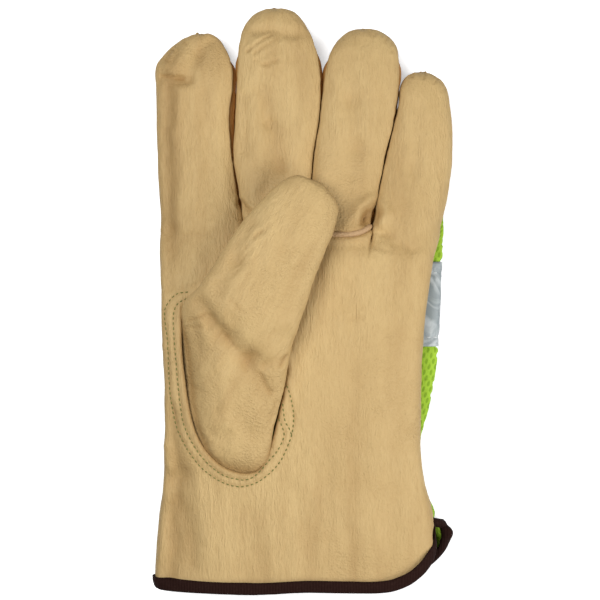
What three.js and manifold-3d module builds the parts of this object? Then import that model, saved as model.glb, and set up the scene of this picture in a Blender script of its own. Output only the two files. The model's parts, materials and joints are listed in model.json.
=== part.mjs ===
// A left-hand leather driver glove lying on its back, palm up and fingers along +Y.
// Millimetres. The glove rests on z = 0, and the little finger is on the +X side.
import * as THREE from "three";
import { mergeVertices } from "three/addons/utils/BufferGeometryUtils.js";
import Module from "manifold-3d";

const wasm = await Module();
wasm.setup();
const { clamp, lerp, smoothstep } = THREE.MathUtils;

// Walls of the materials, and the clearance between two pieces.
const LEATHER = 1.3;
const MESH = 1.5;
const TAPE = 0.8;
const BINDING = 0.8;
const GAP = 0.3;

// Levels round a finger or the hand, as shares of its height above the surface it lies on.
const FRONT_SEAM = 0.62;
const SEAM_MEET = 0.42;
const BACK_SEAM = 0.3;
const FOLD = 0.46;
const OUTER_SEAM = 0.3;
const BULGE = 0.17;

// How far the leather rolls under at the two outer edges, and how square the rounded sections are.
const TUCK = 3;
const FINGER_ROUND = 2.3;
const PALM_ROUND = 3.2;
const BACK_ROUND = 2.8;
const KNUCKLE_HEIGHT = 20;

// The seam at the finger bases: where it lies, how far it sags in each finger, and its welt. The
// reaches are the shares of the hand over which its sheets pass into the fingers and the cuff.
const BASE_Y = 31.5;
const BASE_SAG = 4;
const WEB_REACH = 0.24;
const SIDE_REACH = 0.45;
const WELT = 1.3;
const WELT_WALL = 0.9;
const WELT_PROUD = 0.8;
const SEAM_GAP = 0.75;
const KNUCKLE_RISE = 0.55;
const WEB_NOTCH = 1.8;
const KNUCKLE_GAP = 1;

// A row is one section of a finger: its left and right seam in plan, its height, and how far it is
// lifted off the surface. lean is how far the side strip shows beside the front at the right seam.
const INDEX = [
  { leftX: -61.1, leftY: 31.5, rightX: -25.9, rightY: 31.5, high: 20, lift: 0, lean: 0 },
  { leftX: -61.7, leftY: 45, rightX: -28.3, rightY: 45, high: 17.5, lift: 0, lean: 0.5 },
  { leftX: -62.2, leftY: 60, rightX: -29.6, rightY: 60, high: 16, lift: 0, lean: 1.5 },
  { leftX: -62.7, leftY: 76, rightX: -29.9, rightY: 76, high: 15, lift: 0, lean: 2.6 },
  { leftX: -63.1, leftY: 91, rightX: -29.4, rightY: 92, high: 14, lift: 0, lean: 2.4 },
  { leftX: -62.6, leftY: 100, rightX: -31.3, rightY: 101, high: 12.5, lift: 0, lean: 1 },
  { leftX: -57.6, leftY: 106.2, rightX: -34.2, rightY: 107.8, high: 10, lift: 0.4, lean: 0 },
  { leftX: -51, leftY: 110.9, rightX: -38, rightY: 112, high: 6.5, lift: 2, lean: 0 },
  { leftX: -44, leftY: 113.6, rightX: -44, rightY: 113.6, high: 0, lift: 5, lean: 0 },
];
const MIDDLE = [
  { leftX: -25.1, leftY: 31.5, rightX: 2.9, rightY: 31.5, high: 20, lift: 0, lean: 0 },
  { leftX: -26.9, leftY: 45, rightX: 2.6, rightY: 45, high: 17.5, lift: 0, lean: 0 },
  { leftX: -28.4, leftY: 60, rightX: 3.6, rightY: 60, high: 16, lift: 0, lean: 0 },
  { leftX: -28.8, leftY: 76, rightX: 6, rightY: 76, high: 15.5, lift: 0, lean: 0 },
  { leftX: -28.3, leftY: 92, rightX: 6.9, rightY: 92, high: 15, lift: 0, lean: 0 },
  { leftX: -27.8, leftY: 104, rightX: 5.2, rightY: 105, high: 14, lift: 0, lean: 0 },
  { leftX: -26.3, leftY: 114, rightX: 1.8, rightY: 114.8, high: 12, lift: 0.4, lean: 0 },
  { leftX: -21.8, leftY: 121.3, rightX: -3.8, rightY: 122.2, high: 8, lift: 1.8, lean: 0 },
  { leftX: -12.8, leftY: 125.2, rightX: -12.8, rightY: 125.2, high: 0, lift: 5.5, lean: 0 },
];
const RING = [
  { leftX: 3.7, leftY: 31.5, rightX: 28.3, rightY: 31.5, high: 20, lift: 0, lean: 0 },
  { leftX: 3.4, leftY: 45, rightX: 30.9, rightY: 45, high: 17.5, lift: 0, lean: 0 },
  { leftX: 4.5, leftY: 60, rightX: 34, rightY: 60, high: 16, lift: 0, lean: 0 },
  { leftX: 7, leftY: 76, rightX: 37.8, rightY: 76, high: 15.5, lift: 0, lean: 0 },
  { leftX: 8.4, leftY: 91, rightX: 39.9, rightY: 90, high: 15, lift: 0, lean: 0 },
  { leftX: 10.2, leftY: 101.5, rightX: 40, rightY: 100.5, high: 14, lift: 0, lean: 0 },
  { leftX: 13.4, leftY: 108.4, rightX: 38.4, rightY: 107.8, high: 11.5, lift: 0.4, lean: 0 },
  { leftX: 18.2, leftY: 113, rightX: 32.6, rightY: 113, high: 7.5, lift: 2, lean: 0 },
  { leftX: 25.2, leftY: 114.9, rightX: 25.2, rightY: 114.9, high: 0, lift: 5.5, lean: 0 },
];
const PINKY = [
  { leftX: 29.2, leftY: 31.5, rightX: 57.7, rightY: 31.5, high: 18, lift: 0, lean: 0 },
  { leftX: 31.8, leftY: 45, rightX: 60.1, rightY: 43.5, high: 16, lift: 0, lean: 0 },
  { leftX: 34.9, leftY: 59, rightX: 62.4, rightY: 57.5, high: 14.5, lift: 0, lean: 0 },
  { leftX: 37.8, leftY: 71.5, rightX: 62.9, rightY: 70.5, high: 14, lift: 0, lean: 0 },
  { leftX: 40.5, leftY: 82.5, rightX: 62.3, rightY: 82, high: 13, lift: 0, lean: 0 },
  { leftX: 41.4, leftY: 89.8, rightX: 60.7, rightY: 89, high: 11, lift: 0.3, lean: 0 },
  { leftX: 44, leftY: 94.6, rightX: 57, rightY: 94.2, high: 7.5, lift: 1.5, lean: 0 },
  { leftX: 50, leftY: 97, rightX: 50, rightY: 97, high: 0, lift: 5, lean: 0 },
];

// A row is one section across the hand: the leather's two edges, the mesh's edge past the right
// one, the height, the level of the side seams as a share of it, how far the leather rolls under,
// and the height of the waves into which the mesh is gathered at the wrist.
const HAND = [
  { y: 45, left: -61.7, right: 60, mesh: 60.6, high: 18, seam: 0.3, tuck: 2.7, gather: 0 },
  { y: 31.5, left: -61.1, right: 57.7, mesh: 59.4, high: 20, seam: 0.3, tuck: 3, gather: 0 },
  { y: 15, left: -60.7, right: 54.8, mesh: 58.1, high: 23, seam: 0.3, tuck: 3, gather: 0 },
  { y: -5, left: -60.1, right: 51.9, mesh: 57.4, high: 24.5, seam: 0.3, tuck: 3, gather: 0 },
  { y: -25, left: -59.2, right: 50.3, mesh: 55.9, high: 25, seam: 0.3, tuck: 3, gather: 0 },
  { y: -45, left: -58.7, right: 49.5, mesh: 52.2, high: 25, seam: 0.3, tuck: 3, gather: 0.4 },
  { y: -62, left: -58.9, right: 49.5, mesh: 49, high: 24.5, seam: 0.3, tuck: 3, gather: 1.6 },
  { y: -78, left: -59.7, right: 51.4, mesh: 50.4, high: 24, seam: 0.34, tuck: 2.4, gather: 0.8 },
  { y: -92, left: -61.2, right: 54.4, mesh: 57, high: 24, seam: 0.41, tuck: 1.4, gather: 0 },
  { y: -105, left: -62.3, right: 55, mesh: 62, high: 24, seam: 0.42, tuck: 1, gather: 0 },
  { y: -126, left: -62.8, right: 55, mesh: 62, high: 24, seam: 0.42, tuck: 1, gather: 0 },
];
const GATHER_PITCH = 13;

// The cut edges of the cuff in plan, from the left side round the corner of the vent.
const VENT_Y = -95.4;
const LEATHER_HEM = [
  { x: -62.7, y: -122.4 }, { x: -59.5, y: -123.7 }, { x: -40, y: -124 }, { x: 0, y: -123.6 },
  { x: 31, y: -124 }, { x: 41, y: -122 }, { x: 47.5, y: -117.8 }, { x: 51.8, y: -112 },
  { x: 54, y: -105.5 }, { x: 54.7, y: -100 }, { x: 54.8, y: -96 },
];
const MESH_HEM = [
  { x: -62.2, y: -122.2 }, { x: -59.5, y: -122.8 }, { x: -40, y: -123 }, { x: 0, y: -122.8 },
  { x: 31, y: -122 }, { x: 43, y: -119 }, { x: 51, y: -115 }, { x: 56.3, y: -110.6 },
  { x: 60, y: -105 }, { x: 61.4, y: -100.5 }, { x: 60.3, y: -97 },
];
const BINDING_LEG = 3.6;
const BINDING_GAP = 0.32;

// The space of the hand where the thumb opens into it, and how finely its roof is divided.
const HAND_SPACE = { left: -56, right: 6, near: -86, far: 20, steps: 14 };

// The reflective band across the back, and how far beside it the mesh starts to step in.
const BAND_TOP = 15.9;
const BAND_BOTTOM = -20.2;
const STEP_IN = 3;

// A row is one section of the thumb from its root to its tip: its left and right side in plan, its
// underside and top, and how far its right side is turned up and its left side down.
const THUMB = [
  { leftX: -23, leftY: -73.4, rightX: -23, rightY: -73.4, low: 23.4, high: 23.4, skew: 0 },
  { leftX: -33.5, leftY: -69.8, rightX: -16.4, rightY: -69.4, low: 21, high: 26, skew: 0.2 },
  { leftX: -42, leftY: -61.8, rightX: -14, rightY: -62.4, low: 19, high: 28.5, skew: 0.6 },
  { leftX: -46.7, leftY: -50.3, rightX: -11.7, rightY: -52.2, low: 17, high: 31, skew: 1.4 },
  { leftX: -48.8, leftY: -36.3, rightX: -8.8, rightY: -40.5, low: 15.5, high: 33.5, skew: 2.4 },
  { leftX: -50.1, leftY: -19.3, rightX: -6.6, rightY: -28, low: 14.5, high: 36, skew: 3 },
  { leftX: -51, leftY: -3.8, rightX: -4.6, rightY: -18, low: 16, high: 38, skew: 2.6 },
  { leftX: -44.3, leftY: 5, rightX: -1.8, rightY: -10.5, low: 22.6, high: 38.8, skew: 1.6 },
  { leftX: -35.7, leftY: 17.2, rightX: 1.7, rightY: 0, low: 22.4, high: 38.2, skew: 1 },
  { leftX: -27.2, leftY: 30.3, rightX: 5.4, rightY: 11.4, low: 21.6, high: 37, skew: 1 },
  { leftX: -19.9, leftY: 39.3, rightX: 9, rightY: 20.8, low: 21.2, high: 35.6, skew: 1 },
  { leftX: -12.3, leftY: 46.7, rightX: 12.4, rightY: 29.4, low: 21.2, high: 34, skew: 0.8 },
  { leftX: -4.4, leftY: 51.6, rightX: 14.3, rightY: 38, low: 22, high: 31.5, skew: 0.4 },
  { leftX: 7.8, leftY: 48.2, rightX: 7.8, rightY: 48.2, low: 26, high: 26, skew: 0 },
];
const THUMB_ROUND = 2.3;

// A row is one fold or dent of the leather: where it runs from and to in plan, how wide it is to
// each side and how deep it goes at its middle. Folds of the thumb are kept apart.
const FOLDS = [
  { fromX: -60, fromY: 95, toX: -50, toY: 91.5, width: 3.2, depth: 2 },
  { fromX: -50, fromY: 91.5, toX: -44.5, toY: 105, width: 3.4, depth: 1.6 },
  { fromX: -22, fromY: 117.5, toX: -3, toY: 115, width: 3.6, depth: 1.7 },
  { fromX: -15, fromY: 95, toX: -15.5, toY: 62, width: 5, depth: 1.2 },
  { fromX: -22, fromY: 106, toX: -8, toY: 110, width: 3, depth: 0.9 },
  { fromX: -57, fromY: 20, toX: -56, toY: -40, width: 4, depth: 1 },
  { fromX: -49, fromY: -77, toX: -44, toY: -103, width: 5, depth: 2 },
  { fromX: -52, fromY: -106, toX: -44, toY: -121, width: 5, depth: 1.4 },
  { fromX: 24, fromY: 38, toX: 32, toY: 28, width: 4, depth: 1.5 },
  { fromX: 20, fromY: -30, toX: 28, toY: -70, width: 9, depth: 1.2 },
  { fromX: 30, fromY: 96, toX: 36, toY: 84, width: 4, depth: 1 },
  { fromX: 53, fromY: 85, toX: 57, toY: 62, width: 4, depth: 0.8 },
];
const THUMB_FOLDS = [
  { fromX: -44, fromY: 3, toX: -33, toY: -14, width: 3.4, depth: 2 },
  { fromX: -33, fromY: -14, toX: -15, toY: -41, width: 4.5, depth: 1.8 },
  { fromX: -6, fromY: -22, toX: -14, toY: -27, width: 3.2, depth: 1.6 },
  { fromX: -20, fromY: 24, toX: -31, toY: 4, width: 3.4, depth: 1.2 },
  { fromX: -6, fromY: 34, toX: -12, toY: 12, width: 4, depth: 0.9 },
  { fromX: -40, fromY: -44, toX: -30, toY: -62, width: 5, depth: 1.2 },
];

// The palm gives way under the free part of the thumb.
const THUMB_REST = { fromX: -24, fromY: -4, toX: 6, toY: 44, width: 17, depth: 3 };

// Mesh density.
const SEAM_CROWDING = 0.7;
const STEPS_PER_ROW = 2;
const HAND_LEVELS = [
  -84, -72, -60, -48, -36, BAND_BOTTOM - STEP_IN, BAND_BOTTOM, -2, BAND_TOP, BAND_TOP + STEP_IN,
];
const HAND_STEPS = HAND_LEVELS.length + 2;
const FRONT_COLUMNS = { index: 9, middle: 7, ring: 7, pinky: 8 };
const BACK_COLUMNS = { index: 6, middle: 5, ring: 5, pinky: 6 };
const FINGER_BACK_COLUMNS = 8;
const THUMB_SIDES = 18;
const STRIP_SIDES = 2;
const SAME_POINT = 1e-3;

const GRAIN_LEATHER = { color: "#d6b783", roughness: 0.62, metalness: 0 };
const STRIP_LEATHER = { color: "#c08f4e", roughness: 0.66, metalness: 0 };
const WELT_LEATHER = { color: "#c3a58c", roughness: 0.7, metalness: 0 };
const GREEN_MESH = { color: "#a6d63a", roughness: 0.82, metalness: 0 };
const SILVER_TAPE = { color: "#a3adaf", roughness: 0.4, metalness: 0.3 };
const BROWN_TAPE = { color: "#2b1a17", roughness: 0.85, metalness: 0 };

// A smooth curve through four neighbouring values, between the middle two.
function through(before, start, end, after, share) {
  const rise = (end - before) / 2;
  const fall = (after - start) / 2;
  const square = share * share;
  const cube = square * share;
  return (2 * cube - 3 * square + 1) * start + (cube - 2 * square + share) * rise
    + (3 * square - 2 * cube) * end + (cube - square) * fall;
}

// The section of a table at a place between its rows, counted in rows.
function sectionAt(rows, place) {
  const last = rows.length - 1;
  const first = clamp(Math.floor(place), 0, last - 1);
  const section = {};
  for (const name of Object.keys(rows[0])) {
    section[name] = through(
      rows[Math.max(first - 1, 0)][name],
      rows[first][name],
      rows[first + 1][name],
      rows[Math.min(first + 2, last)][name],
      place - first,
    );
  }
  return section;
}

// The hand's section at a height on the plan.
function handAt(y) {
  let first = 0;
  while (first < HAND.length - 2 && HAND[first + 1].y > y) {
    first += 1;
  }
  const share = clamp((HAND[first].y - y) / (HAND[first].y - HAND[first + 1].y), 0, 1);
  return sectionAt(HAND, first + share);
}

// Share of the way and share of the rise at an angle round a squared ellipse.
function squared(angle, roundness) {
  const along = Math.cos(angle);
  const up = Math.max(Math.sin(angle), 0);
  return {
    along: Math.sign(along) * Math.abs(along) ** (2 / roundness),
    up: up ** (2 / roundness),
  };
}

// How far a finger's side strip is open at a section: 1 along it and 0 near the tip.
function stripOpen(finger, place) {
  const last = finger.rows.length - 1;
  return 1 - smoothstep(place, last - 2.8, last - 1.2);
}

function frontSeam(finger, place, row) {
  return row.lift + row.high * lerp(SEAM_MEET, FRONT_SEAM, stripOpen(finger, place)) + GAP / 2;
}

function backSeam(finger, place, row) {
  return row.lift + row.high * lerp(SEAM_MEET, BACK_SEAM, stripOpen(finger, place)) - GAP / 2;
}

// Where the palm's edge lies below the seam line at the base of the two middle fingers.
function sagDown(across) {
  return -BASE_SAG * Math.sin(Math.PI * across) ** 2 - WELT / 2 - SEAM_GAP;
}

// The sag of the seam at a finger's base, which fades out along the finger.
function baseShift(finger, place, across) {
  if (!finger.sags) {
    return 0;
  }
  return (sagDown(across) + WELT + 2 * SEAM_GAP) * Math.max(1 - place, 0);
}

// Even steps across a finger, drawn closer together beside its two seams.
function beside(across) {
  return across - SEAM_CROWDING * Math.sin(2 * Math.PI * across) / (2 * Math.PI);
}

// The front of a finger, at a section and at a share of the way across it.
function frontPoint(finger, place, across) {
  const row = sectionAt(finger.rows, place);
  const turn = squared(Math.PI * beside(across), FINGER_ROUND);
  const share = (1 - turn.along) / 2;
  const inner = frontSeam(finger, place, row);
  const fold = row.lift + row.high * FOLD;
  const onLeft = across < 0.5;
  const edge = (onLeft && finger.outer === "left") || (!onLeft && finger.outer === "right") ? fold : inner;
  return new THREE.Vector3(
    lerp(row.leftX, row.rightX - row.lean, share),
    lerp(row.leftY, row.rightY, share) + baseShift(finger, place, across),
    lerp(edge, Math.max(row.lift + row.high, edge), turn.up),
  );
}

// The leather rolled under an outer edge, from the fold at share 0 to the seam at share 1.
function tuckPoint(edge, { high, seam, tuck }, inward, share) {
  const turn = share * Math.PI / 2;
  return new THREE.Vector3(
    edge.x + inward * tuck * (1 - Math.cos(turn)),
    edge.y,
    edge.z - (FOLD - seam) * high * Math.sin(turn),
  );
}

function tuckDepth(high) {
  return TUCK * Math.min(high / KNUCKLE_HEIGHT, 1);
}

// The outer edge of a finger at a section, described as the hand's edges are.
function outerEdge(finger, place) {
  const row = sectionAt(finger.rows, place);
  return { left: row.leftX, right: row.rightX, high: row.high, seam: OUTER_SEAM, tuck: tuckDepth(row.high) };
}

// The back of a finger, flat where it lies, at a section and at a share of the way across it.
function backPoint(finger, place, across) {
  const row = sectionAt(finger.rows, place);
  const inset = tuckDepth(row.high) / 3;
  const seam = backSeam(finger, place, row);
  const bulge = row.lift + row.high * BULGE;
  const left = finger.outer === "left" ? row.leftX + inset : row.leftX;
  const right = finger.outer === "right" ? row.rightX - inset : row.rightX;
  const turn = squared(Math.PI * beside(across), BACK_ROUND);
  const share = (1 - turn.along) / 2;
  const onLeft = across < 0.5;
  const outer = (onLeft && finger.outer === "left") || (!onLeft && finger.outer === "right");
  const edge = outer ? bulge : seam;
  return new THREE.Vector3(
    lerp(left, right, share),
    lerp(row.leftY, row.rightY, share),
    lerp(edge, Math.min(row.lift, edge), Math.min(turn.up * 1.06, 1)),
  );
}

// The back rolled in from its own widest line to the seam under an outer edge.
function rollPoint(edge, seamX, seamZ, share) {
  const turn = share * Math.PI / 2;
  return new THREE.Vector3(
    lerp(edge.x, seamX, 1 - Math.cos(turn)),
    edge.y,
    lerp(edge.z, seamZ, Math.sin(turn)),
  );
}

// Depth of a long dent over a place on the plan, fading out on every side of its line.
function dent(x, y, { fromX, fromY, toX, toY, width, depth }) {
  const wayX = toX - fromX;
  const wayY = toY - fromY;
  const share = clamp(((x - fromX) * wayX + (y - fromY) * wayY) / (wayX ** 2 + wayY ** 2), 0, 1);
  const distance = Math.hypot(x - fromX - share * wayX, y - fromY - share * wayY);
  return depth * Math.exp(-((distance / width) ** 2));
}

// The sheet pressed in along its folds, where it faces up. Its seams and hems stay in place.
function folded(sheet, folds) {
  const rim = rimOf(sheet);
  return moved(sheet, ({ x, y }, index) => {
    const facing = rim.has(index) ? 0 : Math.max(normalOf(sheet, index).z, 0);
    return -facing * folds.reduce((sum, fold) => sum + dent(x, y, fold), 0);
  });
}

// Height of the palm's leather over a place on the plan.
function palmHeight(x, y) {
  const hand = handAt(y);
  const off = clamp(Math.abs(2 * x - hand.left - hand.right) / (hand.right - hand.left), 0, 1);
  const fold = hand.high * FOLD;
  return fold + (hand.high - fold) * (1 - off ** PALM_ROUND) ** (1 / PALM_ROUND)
    - dent(x, y, THUMB_REST);
}

// Height of the underside of the back over a place on the plan.
function backHeight(x, y) {
  const hand = handAt(y);
  const off = clamp(Math.abs(2 * x - hand.left - hand.mesh) / (hand.mesh - hand.left), 0, 1);
  const roll = hand.high * BULGE;
  const rounded = roll * (1 - Math.min(1, 1.04 * (1 - off ** 12) ** 0.4));
  const wave = (1 - Math.cos(x * 2 * Math.PI / GATHER_PITCH)) / 2;
  return rounded + hand.gather * wave * (1 - off ** 8);
}

const FINGERS = {
  index: { rows: INDEX, outer: "left", sags: false },
  middle: { rows: MIDDLE, outer: "none", sags: true },
  ring: { rows: RING, outer: "none", sags: true },
  pinky: { rows: PINKY, outer: "right", sags: false },
};

// Columns of the hand from the left edge to the right one. Each starts at the base of a finger.
function handColumns(pointAt, counts, shiftY) {
  const columns = [];
  for (const [name, finger] of Object.entries(FINGERS)) {
    const first = name === "middle" || name === "ring" ? 1 : 0;
    const last = name === "middle" || name === "ring" ? counts[name] - 1 : counts[name];
    for (let step = first; step <= last; step += 1) {
      const across = step / counts[name];
      const base = pointAt(finger, 0, across);
      base.y += shiftY(finger, across);
      columns.push(base);
    }
    if (name === "middle") {
      const left = pointAt(finger, 0, 1);
      left.lerp(pointAt(FINGERS.ring, 0, 0), 0.5);
      left.y += shiftY(finger, 1);
      columns.push(left);
    }
  }
  return columns;
}

function hemCurve(table) {
  const points = table.map(({ x, y }) => new THREE.Vector3(x, y, 0));
  return new THREE.CatmullRomCurve3(points, false, "centripetal");
}

// A sheet of the hand between the finger bases and a hem. Row 0 is the hem, and row 1 is the edge
// of the binding.
function handSheet(bases, hem, rightEdge, heightAt) {
  const leftX = bases[0].x;
  const width = bases[bases.length - 1].x - leftX;
  return (column, row) => {
    const base = bases[column];
    const baseShare = (base.x - leftX) / width;
    const cut = hem.getPointAt(baseShare);
    if (row === 0) {
      cut.z = heightAt(cut.x, cut.y);
      return cut;
    }
    const way = hem.getTangentAt(baseShare);
    const upright = column === 0 || column === bases.length - 1;
    const inward = upright ? new THREE.Vector3(0, 1, 0) : new THREE.Vector3(-way.y, way.x, 0);
    const bound = cut.clone().addScaledVector(inward, BINDING_LEG);
    const y = [bound.y, ...HAND_LEVELS, base.y][row - 1];
    const rise = (y - bound.y) / (base.y - bound.y);
    const low = handAt(bound.y);
    const here = handAt(y);
    const boundShare = upright ? baseShare : (bound.x - low.left) / (rightEdge(low) - low.left);
    const share = lerp(boundShare, baseShare, smoothstep(rise, 0, SIDE_REACH));
    const x = lerp(here.left, rightEdge(here), share);
    const blend = smoothstep(rise, 1 - WEB_REACH, 1);
    return new THREE.Vector3(lerp(x, base.x, blend), y, lerp(heightAt(x, y), base.z, blend));
  };
}

// An indexed surface from grids of points laid side by side. Points that coincide become one, and
// each cell is split along its shorter diagonal.
function surface(...grids) {
  const positions = [];
  for (const { columns, rows, at } of grids) {
    for (let row = 0; row < rows; row += 1) {
      for (let column = 0; column < columns; column += 1) {
        const corners = [at(column, row), at(column + 1, row), at(column + 1, row + 1), at(column, row + 1)];
        const split = corners[0].distanceTo(corners[2]) < corners[1].distanceTo(corners[3]) + SAME_POINT;
        for (const corner of split ? [0, 1, 2, 0, 2, 3] : [0, 1, 3, 1, 2, 3]) {
          positions.push(...corners[corner].toArray());
        }
      }
    }
  }
  const loose = new THREE.BufferGeometry();
  loose.setAttribute("position", new THREE.Float32BufferAttribute(positions, 3));
  const merged = mergeVertices(loose, SAME_POINT);
  const kept = [];
  const index = merged.index.array;
  for (let face = 0; face < index.length; face += 3) {
    const [a, b, c] = index.slice(face, face + 3);
    if (a !== b && b !== c && c !== a) {
      kept.push(a, b, c);
    }
  }
  merged.setIndex(kept);
  merged.computeVertexNormals();
  return merged;
}

function pointOf(geometry, index) {
  return new THREE.Vector3().fromBufferAttribute(geometry.getAttribute("position"), index);
}

function normalOf(geometry, index) {
  return new THREE.Vector3().fromBufferAttribute(geometry.getAttribute("normal"), index);
}

// The surface moved along its normals, by a distance that may differ from place to place.
function moved(sheet, distanceAt) {
  const result = sheet.clone();
  const position = result.getAttribute("position");
  for (let index = 0; index < position.count; index += 1) {
    const point = pointOf(sheet, index);
    point.addScaledVector(normalOf(sheet, index), distanceAt(point, index));
    position.setXYZ(index, point.x, point.y, point.z);
  }
  result.computeVertexNormals();
  return result;
}

// The edges of a surface that only one of its faces has, in the direction of that face.
function openEdges(sheet) {
  const edges = new Map();
  const outer = sheet.index.array;
  for (let face = 0; face < outer.length; face += 3) {
    for (let side = 0; side < 3; side += 1) {
      const from = outer[face + side];
      const to = outer[face + (side + 1) % 3];
      edges.set(`${from},${to}`, [from, to]);
    }
  }
  return [...edges.values()].filter(([from, to]) => !edges.has(`${to},${from}`));
}

function rimOf(sheet) {
  return new Set(openEdges(sheet).flat());
}

// A closed solid between a surface and the points that innerAt gives for each of its points.
function closed(sheet, innerAt) {
  const count = sheet.getAttribute("position").count;
  const positions = [...sheet.getAttribute("position").array];
  for (let index = 0; index < count; index += 1) {
    positions.push(...innerAt(pointOf(sheet, index), normalOf(sheet, index), index).toArray());
  }
  const faces = [];
  const outer = sheet.index.array;
  for (let face = 0; face < outer.length; face += 3) {
    const [a, b, c] = outer.slice(face, face + 3);
    faces.push(a, b, c, a + count, c + count, b + count);
  }
  for (const [from, to] of openEdges(sheet)) {
    faces.push(to, from, from + count, to, from + count, to + count);
  }
  const solid = new THREE.BufferGeometry();
  solid.setAttribute("position", new THREE.Float32BufferAttribute(positions, 3));
  solid.setIndex(faces);
  return solid;
}

// A wall of even thickness. Along the fingers' seams its edge is level, so that neighbours butt.
function walled(sheet, wall) {
  const rim = rimOf(sheet);
  return closed(sheet, (point, normal, index) => {
    if (rim.has(index) && point.y > BASE_Y + 2 && Math.abs(normal.z) < 0.85) {
      normal.setZ(0).normalize();
    }
    return point.addScaledVector(normal, -wall);
  });
}

function toSolid(geometry) {
  return new wasm.Manifold(new wasm.Mesh({
    numProp: 3,
    vertProperties: new Float32Array(geometry.getAttribute("position").array),
    triVerts: new Uint32Array(geometry.index.array),
  }));
}

function toGeometry(solid) {
  const mesh = solid.getMesh();
  const geometry = new THREE.BufferGeometry();
  geometry.setAttribute("position", new THREE.Float32BufferAttribute(mesh.vertProperties, 3));
  geometry.setIndex([...mesh.triVerts]);
  return geometry;
}

// The front of a finger with the roll of its outer edge, as one grid from its base to its tip.
function frontGrid(finger, count) {
  const rolled = finger.outer === "none" ? 0 : 2;
  const before = finger.outer === "left" ? rolled : 0;
  return {
    columns: count + rolled,
    rows: (finger.rows.length - 1) * STEPS_PER_ROW,
    at: (column, row) => {
      const place = row / STEPS_PER_ROW;
      const step = column - before;
      const point = frontPoint(finger, place, clamp(step / count, 0, 1));
      const past = Math.max(-step, step - count, 0);
      if (past === 0) {
        return point;
      }
      return tuckPoint(point, outerEdge(finger, place), finger.outer === "left" ? 1 : -1, past / 2);
    },
  };
}

// The front of the hand: the palm's columns, the rolls of its two edges, and the finger fronts
// that are cut in one piece with it.
function palmSheet() {
  const bases = handColumns(frontPoint, FRONT_COLUMNS, (finger, across) => (
    finger.sags ? sagDown(across) - baseShift(finger, 0, across) : 0
  ));
  const at = handSheet(bases, hemCurve(LEATHER_HEM), (hand) => hand.right, palmHeight);
  const last = bases.length - 1;
  const edgeAt = (column, row) => {
    const past = Math.max(-column, column - last, 0);
    const point = at(clamp(column, 0, last), row);
    if (past === 0) {
      return point;
    }
    const finger = column < 0 ? FINGERS.index : FINGERS.pinky;
    const edge = row === HAND_STEPS ? outerEdge(finger, 0) : handAt(point.y);
    return tuckPoint(point, edge, column < 0 ? 1 : -1, past / 2);
  };
  const palm = { columns: last + 4, rows: HAND_STEPS, at: (column, row) => edgeAt(column - 2, row) };
  const outer = ["index", "pinky"].map((name) => frontGrid(FINGERS[name], FRONT_COLUMNS[name]));
  const smooth = surface(palm, ...outer);
  return {
    sheet: folded(smooth, FOLDS),
    hem: Array.from({ length: last + 5 }, (_, column) => [palm.at(column, 0), palm.at(column, 1)]),
  };
}

// Where the seam between the mesh and a finger's leather back starts on the finger, in rows.
function knuckleAt(finger, across) {
  return finger.outer === "right" ? KNUCKLE_RISE * across ** 2 : 0;
}

// The back of a finger with its roll to the outer seam, from the knuckle seam to the tip.
function fingerBackSheet(finger, count) {
  const rolled = finger.outer === "none" ? 0 : 1;
  const before = finger.outer === "left" ? rolled : 0;
  const last = finger.rows.length - 1;
  const at = (column, row) => {
    const step = column - before;
    const across = clamp(step / count, 0, 1);
    const place = lerp(knuckleAt(finger, across), last, row / last);
    const section = sectionAt(finger.rows, place);
    const point = backPoint(finger, place, across);
    point.y += (GAP / 2) * (1 - row / last);
    if (step >= 0 && step <= count) {
      return point;
    }
    const onLeft = finger.outer === "left";
    const seamX = onLeft
      ? section.leftX + tuckDepth(section.high)
      : section.rightX - tuckDepth(section.high);
    const seamZ = section.lift + section.high * OUTER_SEAM - GAP * Math.min(section.high / 5, 1);
    return rollPoint(point, seamX, seamZ, 1);
  };
  return surface({
    columns: count + rolled,
    rows: last,
    at: (column, row) => at(count + rolled - column, row),
  });
}

function atWeb(finger, across) {
  return (across === 0 && finger.outer !== "left") || (across === 1 && finger.outer !== "right");
}

// The back of the hand, from the knuckle seam to its own hem.
function backSheet() {
  const bases = handColumns(
    (finger, place, across) => backPoint(finger, knuckleAt(finger, across), across),
    BACK_COLUMNS,
    (finger, across) => -KNUCKLE_GAP - (atWeb(finger, across) ? WEB_NOTCH : 0),
  );
  const at = handSheet(bases, hemCurve(MESH_HEM), (hand) => hand.mesh, backHeight);
  const last = bases.length - 1;
  const edgeAt = (column, row) => {
    const past = Math.max(-column, column - last, 0);
    const point = at(clamp(column, 0, last), row);
    if (past === 0) {
      return point;
    }
    const finger = column < 0 ? FINGERS.index : FINGERS.pinky;
    const edge = row === HAND_STEPS ? outerEdge(finger, knuckleAt(finger, 1)) : handAt(point.y);
    const seamX = column < 0 ? edge.left + edge.tuck : edge.right - edge.tuck;
    if (column > last && row === 0) {
      point.y = lerp(point.y, VENT_Y, past / 2);
    }
    if (column > last && row === 1) {
      point.y = lerp(point.y, VENT_Y + BINDING_LEG, past / 2);
    }
    return rollPoint(point, seamX, edge.high * edge.seam - 3 * GAP, past / 2);
  };
  const columns = last + 4;
  const grid = { columns, rows: HAND_STEPS, at: (column, row) => edgeAt(columns - column - 2, row) };
  return {
    grid,
    sheet: surface(grid),
    hem: Array.from({ length: columns + 1 }, (_, column) => [grid.at(column, 0), grid.at(column, 1)]),
  };
}

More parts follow.
